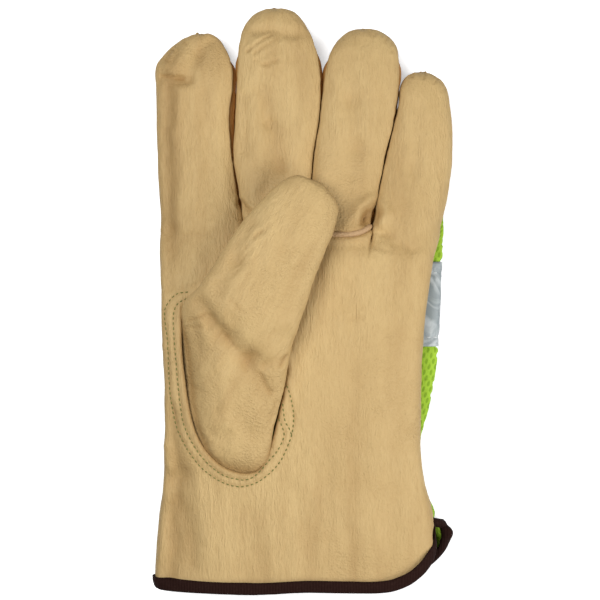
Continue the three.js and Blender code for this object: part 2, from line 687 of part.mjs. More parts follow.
// A side strip from the tip of one finger down to the web and up to the tip of the next.
function stripSheet(left, right) {
  const stripEnd = (finger) => finger.rows.length - 3;
  const rowsLeft = stripEnd(left) * STEPS_PER_ROW;
  const rowsRight = stripEnd(right) * STEPS_PER_ROW;
  const at = (column, row) => {
    const onLeft = row <= rowsLeft;
    const finger = onLeft ? left : right;
    const place = (onLeft ? rowsLeft - row : row - rowsLeft - 1) / STEPS_PER_ROW;
    const section = sectionAt(finger.rows, place);
    const share = column / STRIP_SIDES;
    const x = onLeft ? section.rightX - section.lean * (1 - share) : section.leftX;
    const web = Math.max(1 - 2 * place, 0);
    const top = frontSeam(finger, place, section) - GAP - LEATHER * web;
    const bottom = backSeam(finger, place, section) + GAP + MESH * web;
    return new THREE.Vector3(x, onLeft ? section.rightY : section.leftY, lerp(top, bottom, share));
  };
  return surface({
    columns: STRIP_SIDES,
    rows: rowsLeft + rowsRight + 1,
    at: (column, row) => at(STRIP_SIDES - column, row),
  });
}

// The welt in the seam at the base of the two middle fingers.
function weltSheet() {
  const points = [];
  for (const finger of [FINGERS.middle, FINGERS.ring]) {
    const first = finger === FINGERS.middle ? 0 : 1;
    for (let step = first; step <= FRONT_COLUMNS.middle; step += 1) {
      const across = step / FRONT_COLUMNS.middle;
      const point = frontPoint(finger, 0, across);
      point.y = BASE_Y + sagDown(across) + WELT / 2 + SEAM_GAP;
      point.z += WELT_PROUD;
      points.push(point);
    }
  }
  return surface({
    columns: points.length - 1,
    rows: 1,
    at: (column, row) => points[column].clone().add(new THREE.Vector3(0, (row - 0.5) * WELT, 0)),
  });
}

// The reflective band: the back's own surface between two of its rows, from seam to seam.
function bandSheet({ grid }) {
  const first = 2 + HAND_LEVELS.indexOf(BAND_BOTTOM);
  const last = 2 + HAND_LEVELS.indexOf(BAND_TOP);
  return surface({
    columns: grid.columns - 2,
    rows: last - first,
    at: (column, row) => grid.at(column + 1, first + row),
  });
}

// The thumb's outer surface, closed at its root and at its tip.
function thumbSheet() {
  return surface({
    columns: THUMB_SIDES,
    rows: (THUMB.length - 1) * STEPS_PER_ROW,
    at: (column, row) => {
      const section = sectionAt(THUMB, row / STEPS_PER_ROW);
      const angle = -2 * Math.PI * (column % THUMB_SIDES) / THUMB_SIDES;
      const along = squared(angle, THUMB_ROUND).along;
      const side = Math.sin(angle);
      const up = Math.sign(side) * Math.abs(side) ** (2 / THUMB_ROUND);
      const share = (1 + along) / 2;
      return new THREE.Vector3(
        lerp(section.leftX, section.rightX, share),
        lerp(section.leftY, section.rightY, share),
        (section.low + section.high) / 2 + up * (section.high - section.low) / 2 + section.skew * along,
      );
    },
  });
}

// The space of the hand under the palm's leather, where the thumb opens into it.
function handSpace() {
  const { left, right, near, far, steps } = HAND_SPACE;
  const top = surface({
    columns: steps,
    rows: steps,
    at: (column, row) => {
      const x = lerp(left, right, column / steps);
      const y = lerp(near, far, row / steps);
      return new THREE.Vector3(x, y, palmHeight(x, y) - LEATHER);
    },
  });
  return toSolid(closed(top, (point) => new THREE.Vector3(point.x, point.y, 0)));
}

// One station of the folded binding: its corners round the cut edge of a wall, from the end of the
// outer leg over the edge to the end of the inner leg and back.
function bindingCorners(sheet, wall, [cutIndex, boundIndex]) {
  const cut = pointOf(sheet, cutIndex);
  const bound = pointOf(sheet, boundIndex);
  const near = normalOf(sheet, cutIndex);
  const far = normalOf(sheet, boundIndex);
  const outward = cut.clone().sub(bound).normalize();
  const corner = (point, normal, height, beyond) => point.clone()
    .addScaledVector(normal, height).addScaledVector(outward, beyond);
  const edge = BINDING_GAP + BINDING;
  return [
    corner(bound, far, edge, 0),
    corner(cut, near, edge, edge),
    corner(cut, near, -wall - edge, edge),
    corner(bound, far, -wall - edge, 0),
    corner(bound, far, -wall - BINDING_GAP, 0),
    corner(cut, near, -wall - BINDING_GAP, BINDING_GAP),
    corner(cut, near, BINDING_GAP, BINDING_GAP),
    corner(bound, far, BINDING_GAP, 0),
  ];
}

// The vertex of a surface that lies at a point.
function vertexAt(sheet, point) {
  const count = sheet.getAttribute("position").count;
  let best = 0;
  for (let index = 1; index < count; index += 1) {
    if (pointOf(sheet, index).distanceTo(point) < pointOf(sheet, best).distanceTo(point)) {
      best = index;
    }
  }
  return best;
}

function hemVertices({ sheet, hem }) {
  return hem.map((pair) => pair.map((point) => vertexAt(sheet, point)));
}

function bindingGeometry(palmSide, palmHem, backSide, backHem) {
  const stations = [
    ...palmHem.map((pair) => bindingCorners(palmSide, LEATHER, pair)),
    ...backHem.map((pair) => bindingCorners(backSide, MESH, pair)),
  ];
  const corners = stations[0].length;
  return surface({
    columns: corners,
    rows: stations.length,
    at: (column, row) => stations[row % stations.length][column % corners],
  });
}

const parts = new THREE.Group();

function addPart(name, geometry, material) {
  const flat = geometry.toNonIndexed();
  flat.deleteAttribute("normal");
  flat.computeVertexNormals();
  const mesh = new THREE.Mesh(flat, new THREE.MeshStandardMaterial(material));
  mesh.name = name;
  parts.add(mesh);
}

const palm = palmSheet();
const back = backSheet();
const thumb = folded(thumbSheet(), THUMB_FOLDS);
const thumbOutside = toSolid(thumb);
const thumbInside = toSolid(moved(thumb, () => -LEATHER));
const thumbClearance = toSolid(moved(thumb, () => GAP));

addPart("palm", toGeometry(toSolid(walled(palm.sheet, LEATHER)).subtract(thumbClearance)), GRAIN_LEATHER);
addPart("thumb", toGeometry(thumbOutside.subtract(thumbInside).subtract(handSpace())), GRAIN_LEATHER);
addPart("finger_base_welt", walled(weltSheet(), WELT_WALL), WELT_LEATHER);
for (const name of ["middle", "ring"]) {
  const front = folded(surface(frontGrid(FINGERS[name], FRONT_COLUMNS[name])), FOLDS);
  addPart(`${name}_finger_front`, walled(front, LEATHER), GRAIN_LEATHER);
}
for (const name of Object.keys(FINGERS)) {
  addPart(`${name}_finger_back`, walled(fingerBackSheet(FINGERS[name], FINGER_BACK_COLUMNS), LEATHER), GRAIN_LEATHER);
}
for (const [left, right] of [["index", "middle"], ["middle", "ring"], ["ring", "pinky"]]) {
  const strip = stripSheet(FINGERS[left], FINGERS[right]);
  addPart(`${left}_${right}_fourchette`, walled(strip, LEATHER), STRIP_LEATHER);
}

// The mesh steps in under the band and under the binding, so that all three lie on one surface.
const backHem = hemVertices(back);
const bound = new Set(backHem.flat());
const meshSheet = moved(back.sheet, ({ y }, index) => {
  const underBand = y > BAND_BOTTOM - GAP && y < BAND_TOP + GAP;
  return bound.has(index) ? -BINDING - BINDING_GAP : -(TAPE + GAP) * Number(underBand);
});
addPart("back_panel", walled(meshSheet, MESH), GREEN_MESH);
addPart("reflective_band", walled(bandSheet(back), TAPE), SILVER_TAPE);

addPart("cuff_binding", bindingGeometry(palm.sheet, hemVertices(palm), meshSheet, backHem), BROWN_TAPE);

export default parts;
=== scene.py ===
"""A left-hand leather driver glove lying palm up, dressed around its CAD solids."""

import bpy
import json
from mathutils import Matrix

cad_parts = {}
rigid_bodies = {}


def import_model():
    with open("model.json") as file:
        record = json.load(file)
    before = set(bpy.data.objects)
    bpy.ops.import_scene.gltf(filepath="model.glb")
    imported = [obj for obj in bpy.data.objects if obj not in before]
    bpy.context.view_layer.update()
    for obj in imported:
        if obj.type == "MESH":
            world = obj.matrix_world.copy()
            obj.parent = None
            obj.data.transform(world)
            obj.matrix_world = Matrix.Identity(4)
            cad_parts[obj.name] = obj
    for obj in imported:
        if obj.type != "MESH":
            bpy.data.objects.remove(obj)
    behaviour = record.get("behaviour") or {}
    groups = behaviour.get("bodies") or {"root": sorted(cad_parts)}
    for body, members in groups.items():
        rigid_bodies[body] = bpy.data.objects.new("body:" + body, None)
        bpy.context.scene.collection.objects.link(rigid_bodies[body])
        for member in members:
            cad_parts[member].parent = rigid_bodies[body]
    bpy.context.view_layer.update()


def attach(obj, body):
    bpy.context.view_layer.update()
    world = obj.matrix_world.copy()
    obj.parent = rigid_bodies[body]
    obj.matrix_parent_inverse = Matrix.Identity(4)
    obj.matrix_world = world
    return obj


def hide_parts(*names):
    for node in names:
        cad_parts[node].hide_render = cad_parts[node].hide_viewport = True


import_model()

import json
import math
from types import SimpleNamespace

import bpy
import numpy as np
from bpy.props import FloatProperty, PointerProperty, StringProperty
from mathutils import Vector
from mathutils.kdtree import KDTree

bl_info = {
    "name": "Leather Driver Glove",
    "version": (1, 0, 0),
    "blender": (4, 5, 0),
    "location": "View3D > Sidebar > Glove",
    "description": "Builds a left-hand leather driver glove lying palm up on a pale floor",
    "category": "Object",
}

# Lengths in the tables and the form functions are millimetres in the frame of the part.
MM = 0.001

# The walls of the sheets, and the gap in a seam between two of them.
LEATHER = 1.3
MESH = 1.5
TAPE = 0.8
BINDING = 0.8
GAP = 0.3

# Levels round a finger or the hand, as shares of its height above the surface it lies on.
FRONT_SEAM = 0.62
SEAM_MEET = 0.42
BACK_SEAM = 0.3
FOLD = 0.46
OUTER_SEAM = 0.3
BULGE = 0.17

# How square a section is: 2 is an ellipse, and a higher number is squarer.
FINGER_ROUND = 2.9
OUTER_ROUND = 1.7
PALM_ROUND = 3.6
HEEL_ROUND = 6.6
CUFF_ROUND = 2.7
BACK_ROUND = 2.8
THUMB_ROUND = 2.3
THUMB_LEFT_ROUND = 1.8

# The seam under an outer edge lies this far in, in full where the finger has the knuckles' height.
TUCK = 3.0
KNUCKLE_HEIGHT = 20.0

# The little finger's back begins this many rows up its table at its outer edge.
KNUCKLE_RISE = 0.55

# The curved seam at the base of the two middle fingers, and the width that its welt takes.
BASE_Y = 31.5
BASE_SAG = 4.0
WELT = 1.3

# The lengths of the palm's sheet and of the back's, and the way round the thumb.
PALM_LENGTH = 150
BACK_LENGTH = 152
THUMB_GIRTH = 95

# As shares of a sheet of the hand: how far down from the finger bases the webs reach, and how far
# up from the hem its points become evenly spaced.
WEB_REACH = 0.1
SIDE_REACH = 0.45

# Between these heights on the plan the rows of a sheet are level, and these are their shares.
LEVEL_BOTTOM = -84.0
LEVEL_TOP = 20.0
LEVEL_FROM = 0.24
LEVEL_TO = 0.92

# The shares of its turn at which a rolled edge has points, from its widest line to the seam.
ROLL = np.arange(1, 6)[None, :] / 5

# The grid of the mesh back. Its dimples are ovals, this much longer than wide in their spacing,
# and this large as shares of it. It gathers in waves towards the cuff, and stands out beside the
# little finger's base.
BACK_STEP = 0.68
DIMPLE_LONG = 1.5
DIMPLE_SIZE = (0.22, 0.28)
GATHER_PITCH = 13.0
MESH_SWELL = 1.0
MESH_SWELL_Y = 34.0

# The reflective band's grid, and its edges and its two seams on the plan.
BAND_STEP = 1.0
BAND_TOP = 15.9
BAND_BOTTOM = -20.2
BAND_SEAMS = (BAND_TOP - 4.4, BAND_BOTTOM + 4)

# The vent's upper end. The binding covers a hem this far in, over this many rows of its grid, and
# lies this far off it. Where it is slim, its middle line is this far off.
VENT_Y = -94.7
BINDING_LEG = 3.2
LEG_ROWS = 3
BINDING_GAP = 0.32
BINDING_SLIM = 0.55

# The palm is cut for the thumb above this height. This many points of the cut show.
OPENING_LEVEL = 14.0
OPENING_SHOWN = 14

# Below this line on the plan the thumb is open where it lies this far under the palm's face.
THUMB_FREE_Y = 14.0
THUMB_SUNK = 4.0
THUMB_GRAIN_TURN = math.radians(28)

# Leather that hardly shows has its points this much further apart than the mesh step.
HIDDEN_STEP = 1.3

# The camera's sensor width, and the height at which the view has its full width.
SENSOR = 36
VIEW_LEVEL = 12.0

# Colours of what is small or only shades another colour, as sRGB hex values.
STRIP_DEEP = "#80501f"
WELT_DEEP = "#8d6a4c"
BINDING_LIT = "#2e1c18"
BINDING_FADED = "#3a2822"
BAND_THREAD = "#e6eaea"
BINDING_THREAD = "#5d3a30"
PAPER = "#fbfbfb"


def columns(names, *rows):
    """A table with a row per section, as one array for each named column."""
    return dict(zip(names.split(), np.array(rows, float).T))


# A row is one section of a finger or the thumb, from its base to its tip.
SECTION = "left_x left_y right_x right_y high lift lean"
INDEX = columns(
    SECTION,
    (-61.1, 31.5, -25.9, 31.5, 20, 0, 0),
    (-61.7, 45, -28.6, 45, 17.5, 0, 0),
    (-62.2, 60, -30.2, 60, 16, 0, 0.5),
    (-62.7, 76, -29.5, 76, 15, 0, 2.5),
    (-63.1, 91, -29.4, 92, 14, 0, 1.1),
    (-62.8, 100, -31.3, 101, 12.5, 0, 0),
    (-57.9, 106.5, -34.2, 108.1, 10, 0.4, 0),
    (-51.3, 111.6, -38.2, 112.6, 6.5, 2, 0),
    (-44, 114.2, -44, 114.2, 0, 5, 0),
)
MIDDLE = columns(
    SECTION,
    (-25.1, 31.5, 2.9, 31.5, 20, 0, 0),
    (-27.4, 46, 2.6, 45, 17.5, 0, 0),
    (-29.6, 60, 3.6, 60, 16, 0, 0),
    (-29.1, 76, 6, 76, 15.5, 0, 0),
    (-28.3, 92, 6.9, 92, 15, 0, 0),
    (-27.8, 104, 5.2, 105, 14, 0, 0),
    (-26.3, 114, 1.8, 114.8, 12, 0.4, 0),
    (-21.8, 121.3, -3.8, 122.2, 8, 1.8, 0),
    (-12.8, 125.2, -12.8, 125.2, 0, 5.5, 0),
)
RING = columns(
    SECTION,
    (3.7, 31.5, 28.3, 31.5, 20, 0, 0),
    (3.4, 45, 30.9, 45, 17.5, 0, 0),
    (4.5, 60, 34, 60, 16, 0, 0),
    (7, 76, 37.8, 76, 15.5, 0, 0),
    (8.4, 91, 39.9, 90, 15, 0, 0),
    (10.2, 101.5, 40.2, 101, 14, 0, 0),
    (13.2, 108.7, 39, 108.5, 11.5, 0.4, 0),
    (18.2, 113.7, 33.6, 113.9, 7.5, 2, 0),
    (25.2, 116.3, 25.2, 116.3, 0, 5.5, 0),
)
PINKY = columns(
    SECTION,
    (29.2, 31.5, 58.2, 31.5, 18, 0, 0),
    (31.8, 45, 61.1, 43.5, 16, 0, 0),
    (34.9, 59, 63.1, 57.5, 14.5, 0, 0),
    (37.8, 71.5, 63.2, 70.5, 14, 0, 0),
    (40.5, 82.5, 62.3, 82, 13, 0, 0),
    (41.3, 90.3, 61.1, 89.9, 11, 0.3, 0),
    (44.2, 95.3, 57, 95.1, 7.5, 1.5, 0),
    (50.2, 98, 50.2, 98, 0, 5, 0),
)
FINGERS = {
    "index": SimpleNamespace(table=INDEX, outer="left", sags=False),
    "middle": SimpleNamespace(table=MIDDLE, outer="none", sags=True),
    "ring": SimpleNamespace(table=RING, outer="none", sags=True),
    "pinky": SimpleNamespace(table=PINKY, outer="right", sags=False),
}
HAND = columns(
    "y left right mesh high seam tuck gather",
    (45, -61.7, 60, 61.4, 18, 0.3, 2.7, 0),
    (31.5, -61.1, 57.7, 60.6, 20, 0.3, 3, 0),
    (15, -60.7, 54.8, 59.2, 23, 0.3, 3, 0),
    (-5, -60.1, 51.9, 58.2, 24.5, 0.3, 3, 0),
    (-25, -59.2, 50.3, 57.3, 25, 0.3, 3, 0),
    (-45, -58.7, 49.5, 54, 25, 0.3, 3, 0.4),
    (-62, -58.9, 49.5, 49.8, 24.5, 0.3, 3, 1.6),
    (-78, -59.7, 51.4, 50.4, 24, 0.34, 2.4, 0.8),
    (-92, -61.2, 54.4, 57, 24, 0.41, 1.4, 0),
    (-105, -62.3, 55, 62, 24, 0.42, 1, 0),
    (-126, -62.8, 55, 62, 24, 0.42, 1, 0),
)
LEATHER_HEM = columns(
    "x y",
    (-62.7, -119.6), (-59.5, -120.6), (-40, -121.2), (-20, -121.6), (0, -120.6), (31, -120.9),
    (41, -118.9), (47.5, -115.2), (52.4, -110), (54.4, -105), (55, -100), (54.8, -96),
)
MESH_HEM = columns(
    "x y",
    (-62.2, -121), (-59.5, -121.4), (-40, -121.6), (0, -121.4), (31, -120.8), (43, -118),
    (51.5, -114.2), (57, -109.8), (60.8, -104.6), (62, -100), (60.6, -96.8),
)
THUMB = columns(
    "left_x left_y right_x right_y low high skew drop",
    (-23, -75.4, -23, -75.4, 21.6, 21.6, 0, 0),
    (-34.8, -71.4, -16, -71, 19.6, 24.6, 0.2, 1),
    (-43.6, -62.8, -13.6, -63.2, 18, 28, 0.6, 2),
    (-48.4, -50.6, -11.7, -52.2, 17, 30.2, 1.4, 2.2),
    (-50.4, -36.3, -8.8, -40.5, 15.5, 32.2, 2.4, 1.8),
    (-51.6, -19.3, -6.6, -28, 14.5, 34.4, 3, 1.6),
    (-52, -3.8, -4.6, -18, 16, 37, 2.6, 1.2),
    (-44.3, 5, -1.8, -10.5, 22.6, 38.8, 1.6, 0),
    (-35.7, 17.2, 1.7, 0, 22.4, 38.2, 1, 0),
    (-27.2, 30.3, 5.4, 11.4, 21.6, 37, 1, 0),
    (-19.9, 39.3, 9, 20.8, 21.2, 35.6, 1, 0),
    (-12.3, 46.7, 12.4, 29.4, 21.2, 34, 0.8, 0),
    (-4.4, 51.6, 14.3, 38, 22, 31.5, 0.4, 0),
    (1.8, 50.7, 12, 43.3, 23.4, 29.2, 0.2, 0),
    (7.8, 48.2, 7.8, 48.2, 26, 26, 0, 0),
)

# The edge of the palm's leather round the thumb. Its upper part lies hidden under the thumb.
THUMB_OPENING = [
    (-50.9, -2.8), (-50.9, -19.3), (-49.7, -32), (-48.2, -42.7), (-45.8, -53.3), (-42, -61.3),
    (-36.5, -67.7), (-30.6, -71.1), (-24.6, -72.4), (-19.4, -71.2), (-16, -66.4), (-13.2, -58.6),
    (-10.5, -47), (-7.9, -34), (-7.4, -26), (-12, -16), (-20, -8), (-31, -3.5), (-44, -1),
]

# A row is one fold: from where to where in plan, how wide to each side and how deep. Folds are
# round valleys, and creases are sharp ones with a ridge on both sides.
FOLD_ROW = "from_x from_y to_x to_y width depth"
FOLDS = columns(
    FOLD_ROW,
    (-61.1, 94.9, -49.2, 92.7, 2.6, 1.7), (-50.9, 94, -45, 104.2, 3, 1.3),
    (-45, 104.2, -40.3, 110.1, 2.6, 0.9), (-42, 86.8, -39, 46.5, 3.2, 0.7),
    (-50.1, 84.7, -48.4, 63.5, 3, 0.5), (-50.5, 27, -37.8, 27.8, 2.2, 0.35),
    (-58.6, 89.5, -57.8, 29.5, 3.2, 1.5), (-57.8, 29.5, -57.2, 6, 3.2, 1.2),
    (-55.5, -46, -55, -75, 3.2, 1.1), (-55, -75, -56.2, -116, 3.2, 1.3),
    (-61.2, 88, -60.4, 30, 1.5, -0.7), (-60.4, 30, -59.4, -20, 1.5, -0.7),
    (-59.4, -20, -58.6, -62, 1.5, -0.7), (-58.6, -62, -61.2, -118, 1.6, -0.8),
    (-22.1, 114.4, -3, 113.1, 2.6, 1.3), (-17.8, 88.1, -14.4, 75.3, 3.4, 1.3),
    (-14.4, 75.3, -11, 57.1, 3.4, 1.2), (-11, 57.1, -17.8, 43.9, 3, 0.9),
    (-25.4, 85.5, -25.2, 64, 2.6, 0.9), (-1.7, 101.7, 0.8, 80.4, 4, 0.5),
    (17.8, 101.7, 20.4, 84.7, 4.2, 0.8), (20.4, 84.7, 22.1, 63.5, 4, 1),
    (22.1, 63.5, 19.5, 42.2, 3.6, 0.6), (34, 101.7, 34.8, 71.9, 4, 0.4),
    (49.2, 80.4, 46.7, 55, 3.6, 0.7), (56, 86.8, 57.7, 55, 3.4, 0.6),
    (46.7, 55, 39.9, 30.3, 3.2, 0.5),
    (-54.3, 25.3, -53.5, 6.2, 3.2, 0.6), (-56, -51.1, -52.6, -72.4, 4.5, 1.2),
    (-52.6, -72.4, -47.5, -110.6, 5, 1.7), (-56.9, -85.1, -53.5, -116.9, 4, 0.8),
    (20.8, -21.4, 23.8, -76.6, 8, 0.8), (39.9, -12.9, 39, -76.6, 5, 0.6),
    (11, -59.6, 5.9, -110.6, 7, 0.7), (38.6, -85.1, 34.4, -110.6, 6, 0.6),
    (-22.9, -89.3, -25, -116.9, 7, 0.6), (30.1, 30.3, 45, 21, 2.4, 0.8),
    (40.7, 21, 34.4, -0.2, 5, 0.6), (17.4, 16.8, 20.4, -8.7, 5, 0.5),
)
CREASES = columns(
    FOLD_ROW,
    (-61.5, 96.1, -51.7, 94.2, 0.6, 1.3), (-59, 101.7, -56.5, 105.9, 0.7, 0.5),
    (-57.7, 100, -54.3, 104.2, 0.7, 0.4), (-23.8, 105.9, -14.4, 111.8, 0.7, 0.75),
    (-20.8, 105.1, -11, 111, 0.7, 0.6), (-17.8, 99.1, -10.2, 101.7, 0.7, 0.5),
    (-20.8, 101.7, -15.3, 98.3, 0.6, 0.45), (-61.3, 98.4, -59.4, 97.6, 0.5, 0.5),
    (-59.6, 102.6, -57.8, 101.2, 0.5, 0.5), (-56.3, 106.6, -54.8, 105, 0.5, 0.5),
    (-51.6, 110.2, -50.4, 108.4, 0.5, 0.5), (25.9, 114.6, 25.8, 112.6, 0.5, 0.5),
    (31.4, 113.6, 30.9, 111.8, 0.5, 0.5), (36, 110.6, 34.8, 109.1, 0.5, 0.5),
    (38.6, 106.3, 37, 105.2, 0.5, 0.5), (46.5, 96.7, 46.9, 94.9, 0.5, 0.5),
    (51.8, 96.9, 51.7, 95, 0.5, 0.5), (56.8, 94.5, 55.9, 92.9, 0.5, 0.5),
    (60.8, 90.1, 59.2, 89, 0.5, 0.5), (-26.7, 41, -22.9, 36.3, 1.1, 1.5),
    (24.2, 31.8, 27.4, 34.8, 2.4, 2.2), (27.2, 34.8, 29.6, 37.8, 2.2, 3),
    (30.1, 28.7, 37.4, 27, 0.8, 0.45), (17.4, -8.7, 24.6, -7, 0.8, 0.3),
    (27.2, 22.7, 35.7, 20.2, 0.8, 0.3), (-52.6, 4, -45, 5.7, 0.7, 0.4),
    (-50.3, 27.8, -39, 27, 0.7, 0.2),
)
# Where painted shade darkens the leather, on slopes and in hollows that the light leaves dark;
# depth is the shade's strength.
PAINTED_SHADE = columns(
    FOLD_ROW,
    (-56.5, 100, -56.5, 22, 5, 0.5), (-10.5, 70, -10, 56, 4, 0.3), (-14, 106, -14, 98, 5, 0.22),
    (23.6, 32, 28.6, 37.6, 3.4, 0.45), (-57, -84, -59, -112, 4, 0.25),
)
THUMB_FOLDS = columns(
    FOLD_ROW,
    (-43.5, -1.5, -38.6, -8.7, 3.2, 1.8), (-38.6, -8.7, -33.1, -15.2, 3.6, 1.5),
    (-33.1, -15.2, -23.4, -25, 4, 1.5), (-23.4, -25, -15.2, -38.1, 4, 1.7),
    (-22.9, 31.6, -28.9, 15.9, 3.4, 1.1), (-28.9, 15.9, -34.8, 3.2, 3.4, 1),
    (-6.8, -24, -15.3, -27.4, 2.2, 1.3), (-15.3, -27.4, -24.6, -21.4, 3, 0.4),
    (-28.9, -46.7, -19.8, -57.4, 4, 0.6), (-45.8, -8.7, -44.1, -19.3, 2.2, 0.8),
    (-1.7, 42.2, -9.3, 21, 5, 0.5), (-36, -28, -30, -50, 5, -1), (-42, -30, -38, -52, 3.4, -0.5),
)
THUMB_CREASES = columns(
    FOLD_ROW,
    (-6.4, -23.6, -9.8, -27.4, 0.8, 1), (-48.4, -7.9, -42.4, -6.2, 0.7, 0.6),
    (-49.2, -11.2, -43.3, -11.2, 0.7, 0.5), (-17.8, 27.8, -23.8, 21, 0.7, 0.4),
    (-20.4, 21.9, -27.2, 14.2, 0.7, 0.4), (-22.9, 15.9, -28.9, 10, 0.7, 0.35),
    (-14.4, 31.2, -19.5, 25.3, 0.7, 0.3), (-33.1, -15.5, -28, -19.7, 0.8, 0.5),
    (-17.8, -30.8, -13.6, -39.3, 0.8, 0.5), (-11, -42.7, -13.6, -51.1, 0.8, 0.5),
    (-29.7, -0.2, -24.6, -5.3, 0.8, 0.3), (-45.8, -64.7, -38.2, -59.6, 0.7, 0.3),
    (-47.5, -35.9, -42.4, -39.3, 0.7, 0.3),
)
THUMB_REST = columns(FOLD_ROW, (-24, -4, 6, 44, 17, 3))

# The two rows of stitches round the thumb's opening, and the short row that crosses them.
THUMB_STITCHES_OUTER = [
    (-48, 3.2), (-53.1, 2.3), (-56.6, -1.1), (-58.4, -5.7), (-57, -17.6), (-56.6, -29.1),
    (-55.6, -42.2), (-53.5, -52.8), (-49.2, -61.8), (-42.9, -70.2), (-35.2, -75.8), (-27.6, -78.1),
    (-21.2, -77), (-15.7, -73.6), (-10.2, -67.9), (-6.5, -60.3), (-4.7, -54.1), (-4.5, -46.7),
    (-6.1, -39.1), (-7.4, -35.4),
]
THUMB_STITCHES_INNER = [
    (-48.4, 0.6), (-52.6, -1.7), (-54.5, -6.6), (-54, -17.6), (-53.1, -29.1), (-51.8, -42.7),
    (-50.1, -52.4), (-46.3, -60.3), (-41.6, -66.9), (-34.6, -72.8), (-28, -74.9), (-23.3, -74.9),
    (-19.1, -72.4), (-14.9, -67.5), (-11.5, -63.5), (-8.9, -58.8), (-8.5, -55), (-10.7, -49.3),
]
THUMB_STITCHES_CROSS = [(-8.9, -42.9), (-8.1, -50.1), (-6.2, -53.7), (-5.2, -56.7)]


class GloveSizes(bpy.types.PropertyGroup):
    """Sizes of the glove's finish."""

    mesh_step: FloatProperty(
        name="Mesh step", description="Distance between neighbouring points of a leather sheet",
        default=0.78 * MM, min=0.5 * MM, max=3 * MM, unit="LENGTH",
    )
    dimple_pitch: FloatProperty(
        name="Dimple pitch", description="Distance between two dimples of the mesh in one row",
        default=3.2 * MM, min=1.5 * MM, max=5 * MM, unit="LENGTH",
    )
    dimple_depth: FloatProperty(
        name="Dimple depth", description="Depth of a dimple of the mesh",
        default=0.55 * MM, min=0, max=1 * MM, unit="LENGTH",
    )
    wrinkle_height: FloatProperty(
        name="Wrinkle height", description="Height of the leather's soft unevenness",
        default=0.55 * MM, min=0, max=1 * MM, unit="LENGTH",
    )
    stitch_pitch: FloatProperty(
        name="Stitch pitch", description="Distance from one stitch to the next",
        default=2.1 * MM, min=1 * MM, max=5 * MM, unit="LENGTH",
    )
    thread_width: FloatProperty(
        name="Thread width", description="Width of a sewing thread",
        default=0.48 * MM, min=0.2 * MM, max=1.2 * MM, unit="LENGTH",
    )


class GloveColours(bpy.types.PropertyGroup):
    """Colours of the glove's materials, as sRGB hex values."""

    leather: StringProperty(name="Leather", description="Grain leather", default="#c8ab76")
    # This colour gives the leather's patches of tone and the painted shade in its folds and
    # hollows.
    leather_tone_and_shade: StringProperty(
        name="Leather, deep", description="Grain leather in its folds", default="#8f6836")
    strip: StringProperty(
        name="Side strips", description="Leather between the fingers", default="#b98545")
    welt: StringProperty(name="Welt", description="Split leather of the welt", default="#c6a57a")
    mesh: StringProperty(name="Mesh", description="Knitted mesh of the back", default="#aed542")
    mesh_hole: StringProperty(
        name="Mesh, dimples", description="Backing seen in the dimples", default="#86ac2c")
    tape: StringProperty(name="Band", description="Reflective tape", default="#8b9597")
    # This colour is painted highlight on the band's creased patches.
    tape_painted_glint: StringProperty(
        name="Band, creased", description="Reflective tape where it is creased", default="#c6cdce")
    binding: StringProperty(
        name="Binding", description="Woven binding of the cuff", default="#220f0a")
    thread: StringProperty(
        name="Leather thread", description="Thread on the leather", default="#74763a")


class GloveStage(bpy.types.PropertyGroup):
    """Camera and light."""

    focal_length: FloatProperty(
        name="Focal length",
        description="Focal length of the camera on a 36 mm sensor, in millimetres",
        default=100, min=35, max=200,
    )
    view_width: FloatProperty(
        name="View width", description="Width of the view at the glove",
        default=254.67 * MM, min=100 * MM, max=1000 * MM, unit="LENGTH",
    )
    key_power: FloatProperty(
        name="Key light", description="Power of the soft light from the right, in watts",
        default=5.5, min=0,
    )
    fill_power: FloatProperty(
        name="Fill light", description="Power of the soft light from above, in watts",
        default=4.95, min=0,
    )
    sky: FloatProperty(
        name="Sky", description="Strength of the even light from all round",
        default=0.03, min=0,
    )


# What finished pieces leave for the pieces that are laid on them.
laid = {}


def lerp(start, end, share):
    return start + (end - start) * share


def smooth(value, low=0.0, high=1.0):
    share = np.clip((value - low) / (high - low), 0, 1)
    return share * share * (3 - 2 * share)


def bell(value, width):
    """A share that is 1 where a value is 0 and fades over a width to both sides."""
    return np.exp(-((value / width) ** 2))


def unit(ways):
    """The ways with a length of 1 each."""
    return ways / np.linalg.norm(ways, axis=-1, keepdims=True)


def run_along(path):
    """The length of a path up to each of its points."""
    return np.concatenate([[0], np.cumsum(np.linalg.norm(np.diff(path, axis=0), axis=1))])


def at_run(path, run, places):
    """The points of a path at places along its run."""
    return np.stack([np.interp(places, run, values) for values in path.T], -1)


def through(before, start, end, after, share):
    """A smooth curve through four neighbouring values, between the middle two."""
    rise = (end - before) / 2
    fall = (after - start) / 2
    square, cube = share**2, share**3
    return (
        (2 * cube - 3 * square + 1) * start + (cube - 2 * square + share) * rise
        + (3 * square - 2 * cube) * end + (cube - square) * fall
    )


def rows_of(table):
    """The number of a table's last row."""
    return len(next(iter(table.values()))) - 1


def section_at(table, place):
    """The section of a table at a place between its rows, counted in rows."""
    place = np.asarray(place, float)
    last = rows_of(table)
    first = np.clip(np.floor(place), 0, last - 1).astype(int)
    near = [np.clip(first + step, 0, last) for step in (-1, 0, 1, 2)]
    return SimpleNamespace(**{
        name: through(*(values[index] for index in near), place - first)
        for name, values in table.items()
    })


def hand_at(y):
    """The hand's section at a height on the plan."""
    return section_at(HAND, np.interp(-y, -HAND["y"], np.arange(rows_of(HAND) + 1)))


def squared(angle, roundness):
    """Share of the way and share of the rise at an angle round a squared ellipse."""
    along, up = np.cos(angle), np.maximum(np.sin(angle), 0)
    return np.sign(along) * np.abs(along) ** (2 / roundness), up ** (2 / roundness)


def strip_open(finger, place):
    """How open the side strip is: 1 along the finger, and 0 where it ends before the tip."""
    last = rows_of(finger.table)
    return 1 - smooth(place, last - 2.8, last - 1.2)


